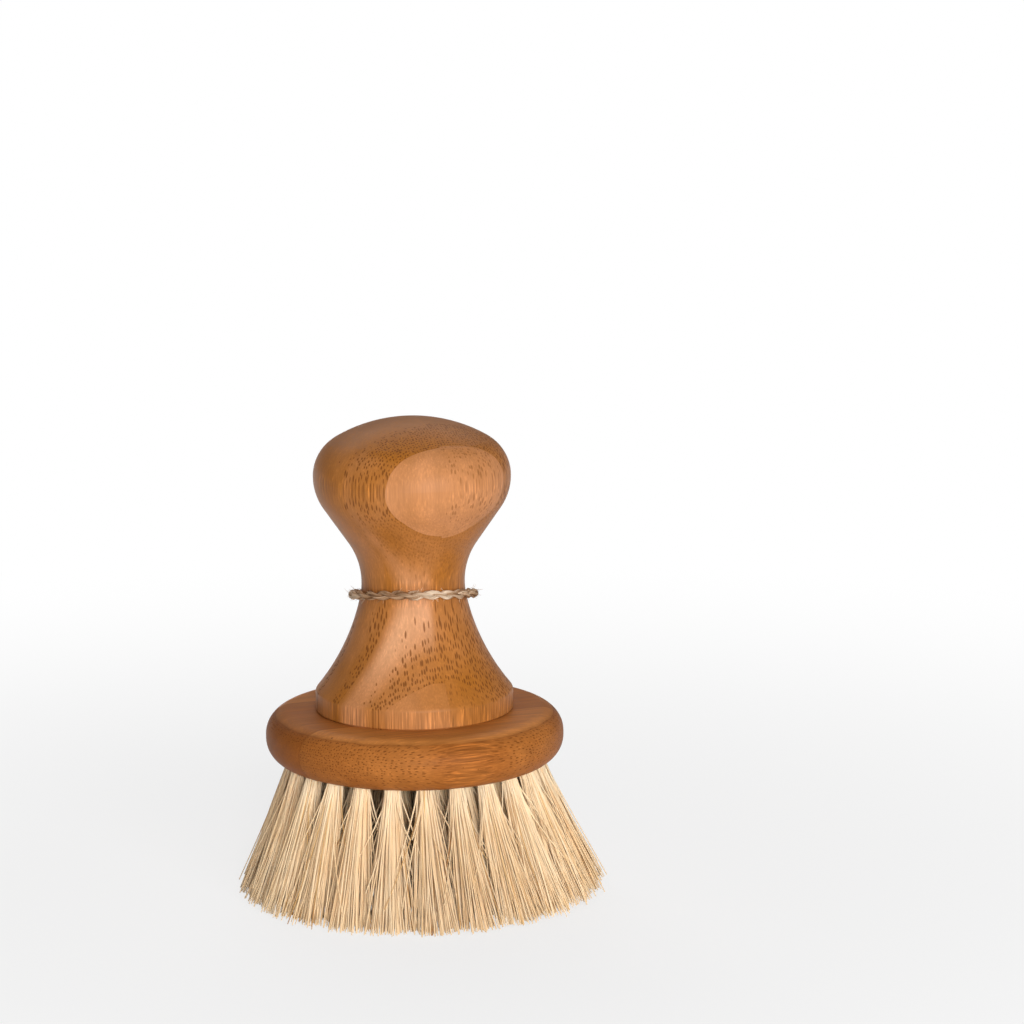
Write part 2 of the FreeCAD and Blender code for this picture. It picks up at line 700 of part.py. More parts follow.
def make_twine(handle):
    """The twine round the neck: one tilted turn, higher at the front, seated on the neck front and back."""
    tilt = math.radians(size("twine_tilt"))
    thread = size("twine_diameter") / 2 + size("twine_clearance")
    level = size("twine_height")
    rise = (neck_radius_at(handle, level) + thread) * math.tan(tilt)
    front = neck_radius_at(handle, level + rise) + thread
    back = neck_radius_at(handle, level - rise) + thread
    loop_radius = (front + back) / 2 / math.cos(tilt)
    path = twine_path(loop_radius)
    tip = path.OrderedEdges[0]
    section = Part.Wire(Part.Circle(tip.valueAt(tip.FirstParameter), tip.tangentAt(tip.FirstParameter),
                                    size("twine_diameter") / 2).toShape())
    twine = doc.addObject("Part::Feature", "neck_twine")
    twine.Label = "neck_twine"
    twine.Shape = path.makePipeShell([section], True, False)
    twine.Placement = FreeCAD.Placement(
        FreeCAD.Vector(0, (back - front) / 2, handle.Placement.Base.z + level),
        FreeCAD.Rotation(X_AXIS, -size("twine_tilt")))
    print(f"twine: loop radius {loop_radius:.2f} mm, length {path.Length:.1f} mm,"
          f" least gap to itself {least_gap(path, size('twine_diameter')):.2f} mm,"
          f" gap to the neck {twine.Shape.distToShape(handle.Shape)[0]:.2f} mm")
    return twine


# Check and write

def check_document(pieces):
    """Stop before anything is written if an object failed or a piece has no sound solid."""
    for item in doc.Objects:
        if "Invalid" in item.State or "Error" in item.State:
            raise RuntimeError(f"{item.Label} failed: {item.State}")
        if item.isDerivedFrom("Sketcher::SketchObject") and not item.FullyConstrained:
            raise RuntimeError(f"{item.Label} is not fully constrained")
    for piece in pieces:
        if piece.Shape.isNull() or not piece.Shape.isValid() or not piece.Shape.Solids:
            raise RuntimeError(f"{piece.Label} has no valid solid")


doc = FreeCAD.newDocument("vegetable_brush")
sheet = make_sheet(doc)
handle = make_handle()
block = make_block()
screw = make_screw()
tufts = []
for ring in RINGS:
    first_tuft = make_tuft(ring)
    doc.recompute()
    tufts.append(first_tuft)
    tufts.extend(copy_tufts(first_tuft, ring))
anchors = make_anchors()
doc.recompute()
twine = make_twine(handle)
doc.recompute()

pieces = [handle, block, screw, anchors, twine] + tufts
check_document(pieces)
os.makedirs("parts", exist_ok=True)
for piece in pieces:
    piece.Shape.exportStep(f"parts/{piece.Label}.step")
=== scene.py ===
"""Dresses a round vegetable brush: laminated bamboo, splayed plant fibre, plated steel and neck twine.

Metres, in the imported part's own frame: +Z runs up the handle, the trimmed tips lie on z = 0 and the front
of the brush faces -Y.
"""
import logging
import math
import random
from dataclasses import dataclass
from enum import Enum

import bpy
from mathutils import Matrix, Quaternion, Vector


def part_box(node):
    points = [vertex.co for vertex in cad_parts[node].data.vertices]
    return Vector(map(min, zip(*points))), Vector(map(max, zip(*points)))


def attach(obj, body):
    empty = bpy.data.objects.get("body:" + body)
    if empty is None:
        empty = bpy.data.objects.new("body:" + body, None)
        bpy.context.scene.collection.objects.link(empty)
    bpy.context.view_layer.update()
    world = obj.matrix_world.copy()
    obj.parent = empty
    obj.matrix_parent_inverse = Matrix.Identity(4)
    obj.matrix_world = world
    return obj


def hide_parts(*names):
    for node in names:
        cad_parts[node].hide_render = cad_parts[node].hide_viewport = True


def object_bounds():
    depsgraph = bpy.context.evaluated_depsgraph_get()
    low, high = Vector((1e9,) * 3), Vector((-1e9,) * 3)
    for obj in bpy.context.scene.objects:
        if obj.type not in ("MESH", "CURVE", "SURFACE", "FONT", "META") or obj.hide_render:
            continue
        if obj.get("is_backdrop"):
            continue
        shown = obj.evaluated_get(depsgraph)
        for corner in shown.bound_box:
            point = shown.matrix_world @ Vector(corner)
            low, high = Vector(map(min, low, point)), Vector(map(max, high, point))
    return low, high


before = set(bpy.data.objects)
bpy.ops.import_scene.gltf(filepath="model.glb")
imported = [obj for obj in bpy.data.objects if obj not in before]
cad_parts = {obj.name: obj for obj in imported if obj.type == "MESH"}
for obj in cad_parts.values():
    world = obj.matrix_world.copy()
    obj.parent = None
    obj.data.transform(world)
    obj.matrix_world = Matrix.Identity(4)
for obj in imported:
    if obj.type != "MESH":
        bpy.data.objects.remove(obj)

Socket = bpy.types.NodeSocket
Value = Socket | float | tuple[float, ...]
Colour = tuple[float, float, float, float]
Triple = tuple[float, float, float]
Range = tuple[float, float]
Frames = list[tuple[Vector, Vector, Vector]]

MM = 0.001
FULL_TURN = 2.0 * math.pi
ORIGIN: Triple = (0.0, 0.0, 0.0)
RISING: Range = (0.0, 1.0)
FALLING: Range = (1.0, 0.0)
NOISE_SPREAD: Range = (0.3, 0.7)
BODY = "root"
TONE = "tone"

log = logging.getLogger("brush")


class Slot(Enum):
    """Names of material slots for the pieces that are built here; nothing in the script uses them."""

    FIBRE = "bristle_fibre"
    TWINE = "twine"


class Ring(Enum):
    """The rings of tufts, counted from the screw outwards, and the fibres in one tuft of each."""

    INNER = ("inner", 120)
    THIRD = ("third", 130)
    SECOND = ("second", 160)
    OUTER = ("outer", 180)

    @property
    def word(self) -> str:
        """The ring's name in its tufts' node names."""
        return self.value[0]

    @property
    def fibres(self) -> int:
        """How many fibres stand in one tuft of the ring."""
        return self.value[1]


def linear(red: float, green: float, blue: float) -> Colour:
    """A colour in linear light, opaque."""
    return (red, green, blue, 1.0)


WHITE = linear(1.0, 1.0, 1.0)


# Shader trees

class Graph:
    """Adds and wires the nodes of one shader tree."""

    def __init__(self, tree: bpy.types.NodeTree) -> None:
        """Work on the given tree."""
        self.tree = tree

    def feed(self, socket: Socket, value: Value) -> None:
        """Link a socket to another one, or set it to a constant.

        Args:
            socket: The socket that takes the value.
            value: The other socket, or the constant.
        """
        if isinstance(value, bpy.types.NodeSocket):
            self.tree.links.new(value, socket)
        else:
            socket.default_value = value

    def node(self, kind: str, inputs: dict[str, Value] | None = None, **options: object) -> bpy.types.Node:
        """Add a node.

        Args:
            kind: The node's type, without its ShaderNode prefix.
            inputs: Values or sockets for its inputs, by name.
            options: Settings of the node itself.

        Returns:
            The new node.
        """
        made = self.tree.nodes.new("ShaderNode" + kind)
        for name, option in options.items():
            setattr(made, name, option)
        for name, value in (inputs or {}).items():
            self.feed(made.inputs[name], value)
        return made

    def _joined(self, kind: str, operation: str, values: tuple[Value, ...]) -> bpy.types.Node:
        """Add a node that joins its inputs with one operation.

        Args:
            kind: The node's type, without its ShaderNode prefix.
            operation: What it does.
            values: Values or sockets for its inputs, in order.

        Returns:
            The new node.
        """
        made = self.node(kind, operation=operation)
        for socket, value in zip(made.inputs, values):
            self.feed(socket, value)
        return made

    def math(self, operation: str, *values: Value) -> Socket:
        """Combine numbers with one math operation."""
        return self._joined("Math", operation, values).outputs[0]

    def vector(self, operation: str, *values: Value) -> bpy.types.Node:
        """Combine vectors with one operation; the node has a Vector and a Value output."""
        return self._joined("VectorMath", operation, values)

    def plus(self, first: Value, second: Value) -> Socket:
        """Add two numbers."""
        return self.math("ADD", first, second)

    def minus(self, first: Value, second: Value) -> Socket:
        """Take the second number from the first."""
        return self.math("SUBTRACT", first, second)

    def over(self, first: Value, second: Value) -> Socket:
        """Divide the first number by the second."""
        return self.math("DIVIDE", first, second)

    def times(self, product: Value, *factors: Value) -> Socket:
        """Multiply numbers.

        Args:
            product: The first number.
            factors: The numbers that multiply it.

        Returns:
            The product's socket.
        """
        for factor in factors:
            product = self.math("MULTIPLY", product, factor)
        return product

    def rest(self, share: Value) -> Socket:
        """What a share leaves of one."""
        return self.minus(1.0, share)

    def mix(self, factor: Value, first: Value, second: Value, blend: str = "MIX") -> Socket:
        """Mix two colours.

        Args:
            factor: The share of the second colour.
            first: The first colour.
            second: The second colour.
            blend: How the second one goes over the first.

        Returns:
            The mixed colour's socket.
        """
        made = self.node("Mix", data_type="RGBA", blend_type=blend)
        colours = [socket for socket in made.inputs if socket.type == "RGBA"]
        self.feed(made.inputs[0], factor)
        self.feed(colours[0], first)
        self.feed(colours[1], second)
        return next(socket for socket in made.outputs if socket.type == "RGBA")

    def remap(self, value: Value, source: tuple[Value, Value], target: tuple[Value, Value] = RISING,
              smooth: bool = False) -> Socket:
        """Map a number from one range to another, clamped.

        Args:
            value: The number.
            source: The range that it comes from.
            target: The range that it goes to.
            smooth: Whether the ends ease in and out.

        Returns:
            The mapped number's socket.
        """
        style = "SMOOTHSTEP" if smooth else "LINEAR"
        made = self.node("MapRange", interpolation_type=style)
        for socket, part in zip(made.inputs, (value, *source, *target)):
            self.feed(socket, part)
        return made.outputs[0]

    def noise(self, place: Value, scale: float, detail: float = 2.0, rough: float = 0.5) -> Socket:
        """Smooth noise from 0 to 1."""
        made = self.node("TexNoise", {"Vector": place, "Scale": scale, "Detail": detail, "Roughness": rough})
        return made.outputs["Fac"]

    def combine(self, across: Value, inward: Value, along: Value) -> Socket:
        """Join three numbers to a vector."""
        return self.node("CombineXYZ", {"X": across, "Y": inward, "Z": along}).outputs[0]

    def separate(self, place: Value) -> list[Socket]:
        """Split a vector or colour into its three numbers."""
        return list(self.node("SeparateXYZ", {"Vector": place}).outputs)

    def group(self, tree: bpy.types.NodeTree, inputs: dict[str, Value]) -> bpy.types.NodeOutputs:
        """Place a node group and give back its outputs."""
        return self.node("Group", inputs, node_tree=tree).outputs


def new_group(name: str, inputs: dict[str, float | Triple],
              outputs: list[str]) -> tuple[Graph, bpy.types.NodeOutputs, bpy.types.NodeInputs]:
    """Start a shader node group.

    Args:
        name: The group's name.
        inputs: Its inputs with their defaults: a number or a vector.
        outputs: Its outputs, all numbers.

    Returns:
        The group's graph, the sockets that bring its inputs and the sockets that take its outputs.
    """
    tree = bpy.data.node_groups.new(name, "ShaderNodeTree")
    for label, default in inputs.items():
        kind = "NodeSocketVector" if isinstance(default, tuple) else "NodeSocketFloat"
        socket = tree.interface.new_socket(name=label, in_out="INPUT", socket_type=kind)
        socket.default_value = default
    for label in outputs:
        tree.interface.new_socket(name=label, in_out="OUTPUT", socket_type="NodeSocketFloat")
    source = tree.nodes.new("NodeGroupInput")
    target = tree.nodes.new("NodeGroupOutput")
    return Graph(tree), source.outputs, target.inputs


def new_material(name: str) -> tuple[bpy.types.Material, Graph, bpy.types.Node]:
    """Start a material with an empty surface shader.

    Args:
        name: The material's name.

    Returns:
        The material, its graph and its Principled shader.
    """
    material = bpy.data.materials.new(name)
    material.use_nodes = True
    graph = Graph(material.node_tree)
    shader = material.node_tree.nodes["Principled BSDF"]
    return material, graph, shader


class BambooPatterns:
    """The node groups that both bamboo finishes share. Places are in millimetres: across, inward, along."""

    def __init__(self) -> None:
        """Build the groups once."""
        self.laminate = self._laminate()
        self.bundles = self._bundles()
        self.grain = self._grain()
        self.pits = self._pits()

    @staticmethod
    def _laminate() -> bpy.types.NodeTree:
        """Glued strips and layers.

        Returns:
            A group that gives the density of the fibre bundles, the soft inner part of the main layer, the
            skin layer, the odd strips and the glue lines.
        """
        fade_depth, fade_width = 2.6, 2.0
        thinning = (0.5, 1.5)
        least_reach = 0.001
        graph, given, result = new_group(
            "glued_strips",
            {"Place": ORIGIN, "Thickness": 9.0, "Depth Offset": 17.0, "Width": 26.0, "Width Offset": 0.0,
             "Step": 0.3, "Even Reach": 1.15, "Odd Reach": 0.4, "Deep Share": 0.6, "Glue Width": 0.1},
            ["Density", "Soft", "Skin", "Odd", "Glue"])
        across, inward, _ = graph.separate(given["Place"])
        strips = graph.over(graph.minus(across, given["Width Offset"]), given["Width"])
        odd = graph.math("FLOORED_MODULO", graph.math("FLOOR", strips), 2.0)
        depth = graph.plus(graph.plus(inward, given["Depth Offset"]), graph.times(odd, given["Step"]))
        layers = graph.over(depth, given["Thickness"])
        layer = graph.math("FLOOR", layers)
        inside = graph.minus(layers, layer)
        deep = graph.math("GREATER_THAN", layer, 0.5)
        skin = graph.math("LESS_THAN", layer, -0.5)
        reach = graph.plus(graph.times(odd, given["Odd Reach"]),
                           graph.times(graph.rest(odd), given["Even Reach"]))
        share = graph.plus(graph.rest(deep), graph.times(deep, given["Deep Share"]))
        limit = graph.math("MAXIMUM", graph.times(reach, share), least_reach)
        density = graph.remap(graph.over(inside, limit), thinning, FALLING, smooth=True)
        layer_edge = graph.times(graph.math("PINGPONG", layers, 0.5), given["Thickness"])
        strip_edge = graph.times(graph.math("PINGPONG", strips, 0.5), given["Width"])
        edge = graph.math("MINIMUM", layer_edge, strip_edge)
        main_layer = graph.minus(graph.rest(deep), skin)
        off_layers = graph.remap(layer_edge, (0.0, fade_depth), smooth=True)
        off_strips = graph.remap(strip_edge, (0.0, fade_width), smooth=True)
        graph.feed(result["Density"], density)
        graph.feed(result["Soft"], graph.times(graph.rest(density), main_layer, off_layers, off_strips))
        graph.feed(result["Skin"], skin)
        graph.feed(result["Odd"], odd)
        graph.feed(result["Glue"], graph.remap(edge, (0.0, given["Glue Width"]), FALLING, smooth=True))
        return graph.tree

    @staticmethod
    def _bundles() -> bpy.types.NodeTree:
        """Fibre bundles: dark dots on cut ends that draw out to streaks along the sides.

        Returns:
            A group that gives one in the middle of a bundle.
        """
        run = 7.0
        looseness = 0.6
        line_shift, row_shift = 40.0, 50.0
        fade_range, least_length = (0.3, 0.5), 0.6
        presence = (-0.06, 0.1)
        width_gain, least_width = 0.5, 0.7
        core_share = 0.5
        graph, given, result = new_group(
            "fibre_bundles",
            {"Place": ORIGIN, "Spacing": 1.15, "Stretch": 1.0, "Size": 0.24, "Density": 1.0}, ["Bundle"])
        across, inward, along = graph.separate(given["Place"])
        deep = graph.times(given["Spacing"], given["Stretch"])
        flat = graph.combine(graph.over(across, given["Spacing"]), graph.over(inward, deep), 0.0)
        cells = graph.node("TexVoronoi", {"Vector": flat, "Scale": 1.0, "Randomness": looseness},
                           voronoi_dimensions="2D", feature="F1")
        first, second, third = graph.separate(cells.outputs["Color"])
        line = graph.plus(graph.over(along, run), graph.times(first, line_shift))
        row = graph.times(second, row_shift)
        fade = graph.noise(graph.combine(line, row, 0.0), scale=1.0, detail=1.0)
        length = graph.remap(fade, fade_range, (least_length, 1.0))
        there = graph.remap(graph.minus(given["Density"], second), presence)
        width = graph.math("MULTIPLY_ADD", third, width_gain, least_width)
        radius = graph.times(given["Size"], width, length, there)
        core = graph.times(radius, core_share)
        bundle = graph.remap(cells.outputs["Distance"], (core, radius), FALLING, smooth=True)
        graph.feed(result["Bundle"], graph.times(bundle, there))
        return graph.tree

    @staticmethod
    def _grain() -> bpy.types.NodeTree:
        """Long fine fibres: noise that is drawn out along the strip.

        Returns:
            A group that gives the grain from 0 to 1.
        """
        stretch = 26.0
        graph, given, result = new_group("long_grain", {"Place": ORIGIN, "Width": 0.5}, ["Grain"])
        across, inward, along = graph.separate(given["Place"])
        length = graph.times(given["Width"], stretch)
        place = graph.combine(graph.over(across, given["Width"]), graph.over(inward, given["Width"]),
                              graph.over(along, length))
        graph.feed(result["Grain"], graph.noise(place, scale=1.0, detail=3.0, rough=0.6))
        return graph.tree

    @staticmethod
    def _pits() -> bpy.types.NodeTree:
        """A few open pores and nicks, far apart.

        Returns:
            A group that gives one in a pit.
        """
        size_gain, least_size = 0.6, 0.6
        core_share = 0.6
        graph, given, result = new_group(
            "open_pits", {"Place": ORIGIN, "Spacing": 6.0, "Size": 0.06, "Share": 0.3}, ["Pit"])
        place = graph.vector("DIVIDE", given["Place"], graph.combine(*[given["Spacing"]] * 3)).outputs[0]
        cells = graph.node("TexVoronoi", {"Vector": place, "Scale": 1.0}, feature="F1")
        first, second, _ = graph.separate(cells.outputs["Color"])
        chosen = graph.math("LESS_THAN", first, given["Share"])
        radius = graph.times(graph.math("MULTIPLY_ADD", second, size_gain, least_size), given["Size"])
        pit = graph.remap(cells.outputs["Distance"], (graph.times(radius, core_share), radius), FALLING)
        graph.feed(result["Pit"], graph.times(pit, chosen))
        return graph.tree


# Finishes

@dataclass(frozen=True)
class Lay:
    """How the strips of a bamboo piece run: unit directions across them, into them and along their fibres."""

    across: Triple
    inward: Triple
    along: Triple
    level: float = 0.0
    lean: float = 0.0
    twist: float = 0.0

    def place(self, graph: Graph) -> Socket:
        """Millimetres across, inward and along, from the piece's own coordinates.

        Args:
            graph: The graph of the material.

        Returns:
            The place. Away from the level, the strips' faces lean and twist by their rates per millimetre.
        """
        here = graph.node("TexCoord").outputs["Object"]
        parts = []
        for direction in (self.across, self.inward, self.along):
            scaled = tuple(part / MM for part in direction)
            parts.append(graph.vector("DOT_PRODUCT", here, scaled).outputs["Value"])
        across, inward, along = parts
        above = graph.minus(along, self.level)
        rate = graph.math("MULTIPLY_ADD", across, self.twist, self.lean)
        return graph.combine(across, graph.math("MULTIPLY_ADD", above, rate, inward), along)

    def facing(self, graph: Graph) -> Socket:
        """Zero where the surface is cut along the fibres, and one where it is cut straight across them."""
        normal = graph.node("TexCoord").outputs["Normal"]
        return graph.math("ABSOLUTE", graph.vector("DOT_PRODUCT", normal, self.along).outputs["Value"])


def turned_lay(degrees: float) -> Lay:
    """Upright strips, a little twisted.

    Args:
        degrees: How far their outer face is turned from the front to the right.

    Returns:
        The lay of the strips.
    """
    turn = math.radians(degrees)
    return Lay((math.cos(turn), math.sin(turn), 0.0), (-math.sin(turn), math.cos(turn), 0.0), (0.0, 0.0, 1.0),
               level=47.0, lean=-0.035, twist=-0.0034)


def flat_lay(degrees: float) -> Lay:
    """Strips that lie flat, with their outer face up.

    Args:
        degrees: How far their fibres are turned from +X.

    Returns:
        The lay of the strips.
    """
    turn = math.radians(degrees)
    return Lay((math.sin(turn), -math.cos(turn), 0.0), (0.0, 0.0, -1.0),
               (math.cos(turn), math.sin(turn), 0.0))


@dataclass(frozen=True)
class BambooFinish:
    """Oiled and lacquered laminated bamboo. Lengths are in millimetres."""

    name: str
    lay: Lay
    pale: Colour
    deep: Colour
    heart_and_highlight: Colour
    bundle: Colour
    # Strips: the size of one, where they begin and how far the odd ones are set in
    thickness: float
    depth_offset: float
    width: float
    width_offset: float
    step: float
    # Bundles: how far they reach into a layer, and the heights between which the deeper layers lose them
    even_reach: float
    odd_reach: float
    reach_rise: float
    deep_share: float
    deep_end: Range
    # Shares of the deep colour, of the palings and of the heart colour, which is the paler soft wood of the
    # flare lightened further as a painted highlight
    base_depth: float
    dense_depth: float
    # The odd strips' deeper tone; on the block it is set deep enough to paint shade on the left of the rim.
    odd_and_shade_depth: float
    end_depth: float
    soft_paling: float
    heart_and_highlight_share: float
    # Dots and streaks
    fine_spacing: float
    fine_size: float
    coarse_spacing: float
    coarse_size: float
    dot_strength: float
    side_dots: float
    streak: float
    side_streak: float
    # Skin layer and glue lines
    skin_paling: float
    low_paling: float
    skin_sparing: float
    glue_strength: float
    glue_width: float
    # Alike on both pieces, unless a piece gives its own
    coarse_stretch: float = 1.5
    faint_level: float = 74.0
    faint_reach: Range = (5.0, 11.0)
    faint_dots: float = 1.0
    skin_dots: float = 1.0
    side_range: Range = (0.03, 0.28)
    end_range: Range = (0.6, 1.0)
    heart_and_highlight_range: Range = (44.0, 56.0)
    pit_spacing: float = 4.4
    pit_strength: float = 0.85
    waver: float = 0.3
    wave_scale: float = 0.16
    cloud_scale: float = 0.07
    cloud_sway: Range = (-0.15, 0.3)
    fine_grain: float = 0.35
    bright_grain: Range = (0.56, 0.68)
    broad_grain: float = 2.4
    broad_spread: Range = (0.25, 0.75)
    roughness: float = 0.42
    grain_gloss: Range = (-0.04, 0.06)
    dot_gloss: float = 0.12
    specular: float = 0.16
    grain_height: float = 0.3
    dot_height: float = 0.5
    bump_depth: float = 0.1 * MM
    bump_strength: float = 0.3


class BambooSurface:
    """Wires the material of one bamboo finish."""

    def __init__(self, finish: BambooFinish, patterns: BambooPatterns) -> None:
        """Start the material with what its colour, gloss and relief share.

        Args:
            finish: The values of the finish.
            patterns: The shared bamboo groups.
        """
        self.finish = finish
        self.patterns = patterns
        self.material, self.graph, self.shader = new_material(finish.name)
        graph = self.graph
        self.place = finish.lay.place(graph)
        self.along = graph.separate(self.place)[2]
        self.facing = finish.lay.facing(graph)
        self.side = graph.remap(self.facing, finish.side_range, FALLING, smooth=True)
        self.upper = graph.remap(self.along, finish.deep_end)
        self.fine = graph.group(patterns.grain, {"Place": self.place, "Width": finish.fine_grain})["Grain"]
        self.strips = self._strips()
        spared = graph.remap(self.strips["Odd"], RISING, (finish.skin_sparing, 1.0))
        self.bare = graph.times(self.strips["Skin"], spared)

    def build(self) -> bpy.types.Material:
        """Wire the colour, the gloss and the relief.

        Returns:
            The finished material.
        """
        finish, graph, inputs = self.finish, self.graph, self.shader.inputs
        dots = self._dots()
        pits = graph.group(self.patterns.pits, {"Place": self.place, "Spacing": finish.pit_spacing})["Pit"]
        graph.feed(inputs["Base Color"], self._colour(dots, pits))
        gloss = graph.plus(finish.roughness, graph.remap(self.fine, NOISE_SPREAD, finish.grain_gloss))
        graph.feed(inputs["Roughness"], graph.plus(gloss, graph.times(dots, finish.dot_gloss)))
        inputs["Specular IOR Level"].default_value = finish.specular
        height = graph.minus(graph.times(self.fine, finish.grain_height),
                             graph.times(dots, finish.dot_height))
        bump = graph.node("Bump", {"Height": graph.minus(height, pits), "Strength": finish.bump_strength,
                                   "Distance": finish.bump_depth})
        graph.feed(inputs["Normal"], bump.outputs[0])
        return self.material

    def _strips(self) -> bpy.types.NodeOutputs:
        """The glued strips, a little wavy, whose dense outer part grows with height.

        Returns:
            The outputs of the strips' group.
        """
        finish, graph = self.finish, self.graph
        wave = graph.times(graph.minus(graph.noise(self.place, finish.wave_scale), 0.5), 2.0 * finish.waver)
        above = graph.minus(self.along, finish.lay.level)
        return graph.group(self.patterns.laminate, {
            "Place": graph.vector("ADD", self.place, graph.combine(wave, wave, 0.0)).outputs[0],
            "Thickness": finish.thickness, "Depth Offset": finish.depth_offset,
            "Width": finish.width, "Width Offset": finish.width_offset,
            "Step": finish.step, "Even Reach": finish.even_reach,
            "Odd Reach": graph.math("MULTIPLY_ADD", above, finish.reach_rise, finish.odd_reach),
            "Deep Share": graph.remap(self.along, finish.deep_end, (finish.deep_share, 0.0)),
            "Glue Width": finish.glue_width})

    def _dots(self) -> Socket:
        """Fibre bundles, small and close in the upper part of the piece, longer ones below it.

        Returns:
            One in the middle of a bundle, and less along the sides, about the faint level and on the skin.
        """
        finish, graph = self.finish, self.graph
        dense = graph.times(self.strips["Density"], graph.rest(self.bare))
        fine = graph.group(self.patterns.bundles, {
            "Place": self.place, "Spacing": finish.fine_spacing, "Size": finish.fine_size,
            "Density": graph.times(dense, self.upper)})["Bundle"]
        coarse = graph.group(self.patterns.bundles, {
            "Place": self.place, "Spacing": finish.coarse_spacing, "Stretch": finish.coarse_stretch,
            "Size": finish.coarse_size, "Density": graph.times(dense, graph.rest(self.upper))})["Bundle"]
        beyond = graph.math("ABSOLUTE", graph.minus(self.along, finish.faint_level))
        return graph.times(
            graph.math("MAXIMUM", fine, coarse),
            graph.remap(self.side, RISING, (1.0, finish.side_dots)),
            graph.remap(beyond, finish.faint_reach, (finish.faint_dots, 1.0), smooth=True),
            graph.remap(self.strips["Skin"], RISING, (1.0, finish.skin_dots)))

    def _colour(self, dots: Value, pits: Value) -> Socket:
        """Pale to deep bamboo with its heart, which carries a painted highlight on the flare, and its grain,
        fibre bundles, glue lines and pits.

        Args:
            dots: One in the middle of a fibre bundle.
            pits: One in an open pit.

        Returns:
            The colour of the surface.
        """
        finish, graph, strips = self.finish, self.graph, self.strips
        colour = graph.mix(self._richness(), finish.pale, finish.deep)
        # Painted highlight: the heart colour goes on the soft wood of the flare's sloped faces, partly its
        # paler wood and partly the lamps' highlight painted in
        sloped = graph.rest(graph.math("MAXIMUM", self.side, self.upper))
        risen = graph.remap(self.along, finish.heart_and_highlight_range, (0.0, finish.heart_and_highlight_share), smooth=True)
        colour = graph.mix(graph.times(strips["Soft"], sloped, risen), colour, finish.heart_and_highlight)
        shade = self._shade()
        colour = graph.mix(1.0, colour, graph.combine(shade, shade, shade), "MULTIPLY")
        for mask, strength in ((dots, finish.dot_strength), (strips["Glue"], finish.glue_strength),
                               (pits, finish.pit_strength)):
            colour = graph.mix(graph.times(mask, strength), colour, finish.bundle)
        return colour

    def _richness(self) -> Socket:
        """How far the colour goes from pale to deep.

        Returns:
            The share of the deep colour.
        """
        finish, graph, strips = self.finish, self.graph, self.strips
        paling = graph.remap(self.along, finish.deep_end, (finish.low_paling, finish.skin_paling))
        level = graph.math("MULTIPLY_ADD", strips["Density"], finish.dense_depth, finish.base_depth)
        level = graph.minus(level, graph.times(strips["Soft"], finish.soft_paling))
        level = graph.times(level, graph.rest(graph.times(strips["Skin"], paling)))
        # Odd strips go deeper: their own tone, and on the block painted shade on the left of the rim.
        level = graph.plus(level, graph.times(strips["Odd"], finish.odd_and_shade_depth))
        cloud = graph.noise(self.place, finish.cloud_scale)
        level = graph.plus(level, graph.remap(cloud, NOISE_SPREAD, finish.cloud_sway))
        ends = graph.remap(self.facing, finish.end_range, (0.0, finish.end_depth), smooth=True)
        return graph.plus(level, ends)

    def _shade(self) -> Socket:
        """Light and dark grain, strongest on faces cut along the fibres.

        Returns:
            The factor on the colour.
        """
        finish, graph = self.finish, self.graph
        broad = graph.group(self.patterns.grain, {"Place": self.place, "Width": finish.broad_grain})["Grain"]
        lengthwise = graph.times(self.side, graph.rest(graph.times(self.bare, self.upper)))
        gain = graph.remap(lengthwise, RISING, (finish.streak, finish.streak * finish.side_streak))
        sway = graph.plus(graph.remap(self.fine, NOISE_SPREAD, (-1.0, 1.0)),
                          graph.remap(self.fine, finish.bright_grain))
        bands = graph.remap(broad, finish.broad_spread, (1.0 - finish.streak, 1.0 + finish.streak))
        return graph.times(graph.math("MULTIPLY_ADD", sway, gain, 1.0), bands)


@dataclass(frozen=True)
class FibreFinish:
    """Dry plant fibre, a little different in each strand."""

    name: str
    tones: tuple[tuple[float, Colour], ...]
    roughness: float
    streak_scale: float
    # Painted light: heights in metres over which the fibre turns paler towards its root, standing in for the
    # brightly lit roots.
    root_light_range: Range = RISING
    root_painted_light: float = 0.0
    sheen: float = 0.0
    sheen_roughness: float = 0.5
    specular: float = 0.35
    spot_depth: float = 0.1
    spot_gloss: float = 0.06
    patch_scale: float = 60.0
    patch_depth: float = 0.1
    patch_offset: Triple = ORIGIN
    patch_spread: Range = (0.35, 0.65)

    def material(self) -> bpy.types.Material:
        """Build the material, which reads each strand's tone from the mesh.

        Returns:
            The finished material.
        """
        material, graph, shader = new_material(self.name)
        here = graph.node("TexCoord").outputs["Object"]
        height = graph.separate(here)[2]
        spots = graph.noise(here, self.streak_scale, detail=3.0, rough=0.6)
        moved = graph.vector("ADD", here, self.patch_offset).outputs[0]
        patch = graph.noise(moved, self.patch_scale, detail=1.0)
        level = graph.node("Attribute", attribute_name=TONE).outputs["Fac"]
        # Painted light: the tone rises towards the block, so that the roots look brightly lit from the front.
        for shift in (graph.remap(spots, NOISE_SPREAD, (-self.spot_depth, self.spot_depth)),
                      graph.remap(height, self.root_light_range, (0.0, self.root_painted_light)),
                      graph.remap(patch, self.patch_spread, (-self.patch_depth, self.patch_depth))):
            level = graph.plus(level, shift)
        ramp = graph.node("ValToRGB", {"Fac": level})
        elements = ramp.color_ramp.elements
        for position, _ in self.tones[1:-1]:
            elements.new(position)
        for element, (position, colour) in zip(elements, self.tones):
            element.position = position
            element.color = colour
        gloss = (self.roughness - self.spot_gloss, self.roughness + self.spot_gloss)
        graph.feed(shader.inputs["Base Color"], ramp.outputs["Color"])
        graph.feed(shader.inputs["Roughness"], graph.remap(spots, NOISE_SPREAD, gloss))
        shader.inputs["Specular IOR Level"].default_value = self.specular
        shader.inputs["Sheen Weight"].default_value = self.sheen
        shader.inputs["Sheen Roughness"].default_value = self.sheen_roughness
        return material


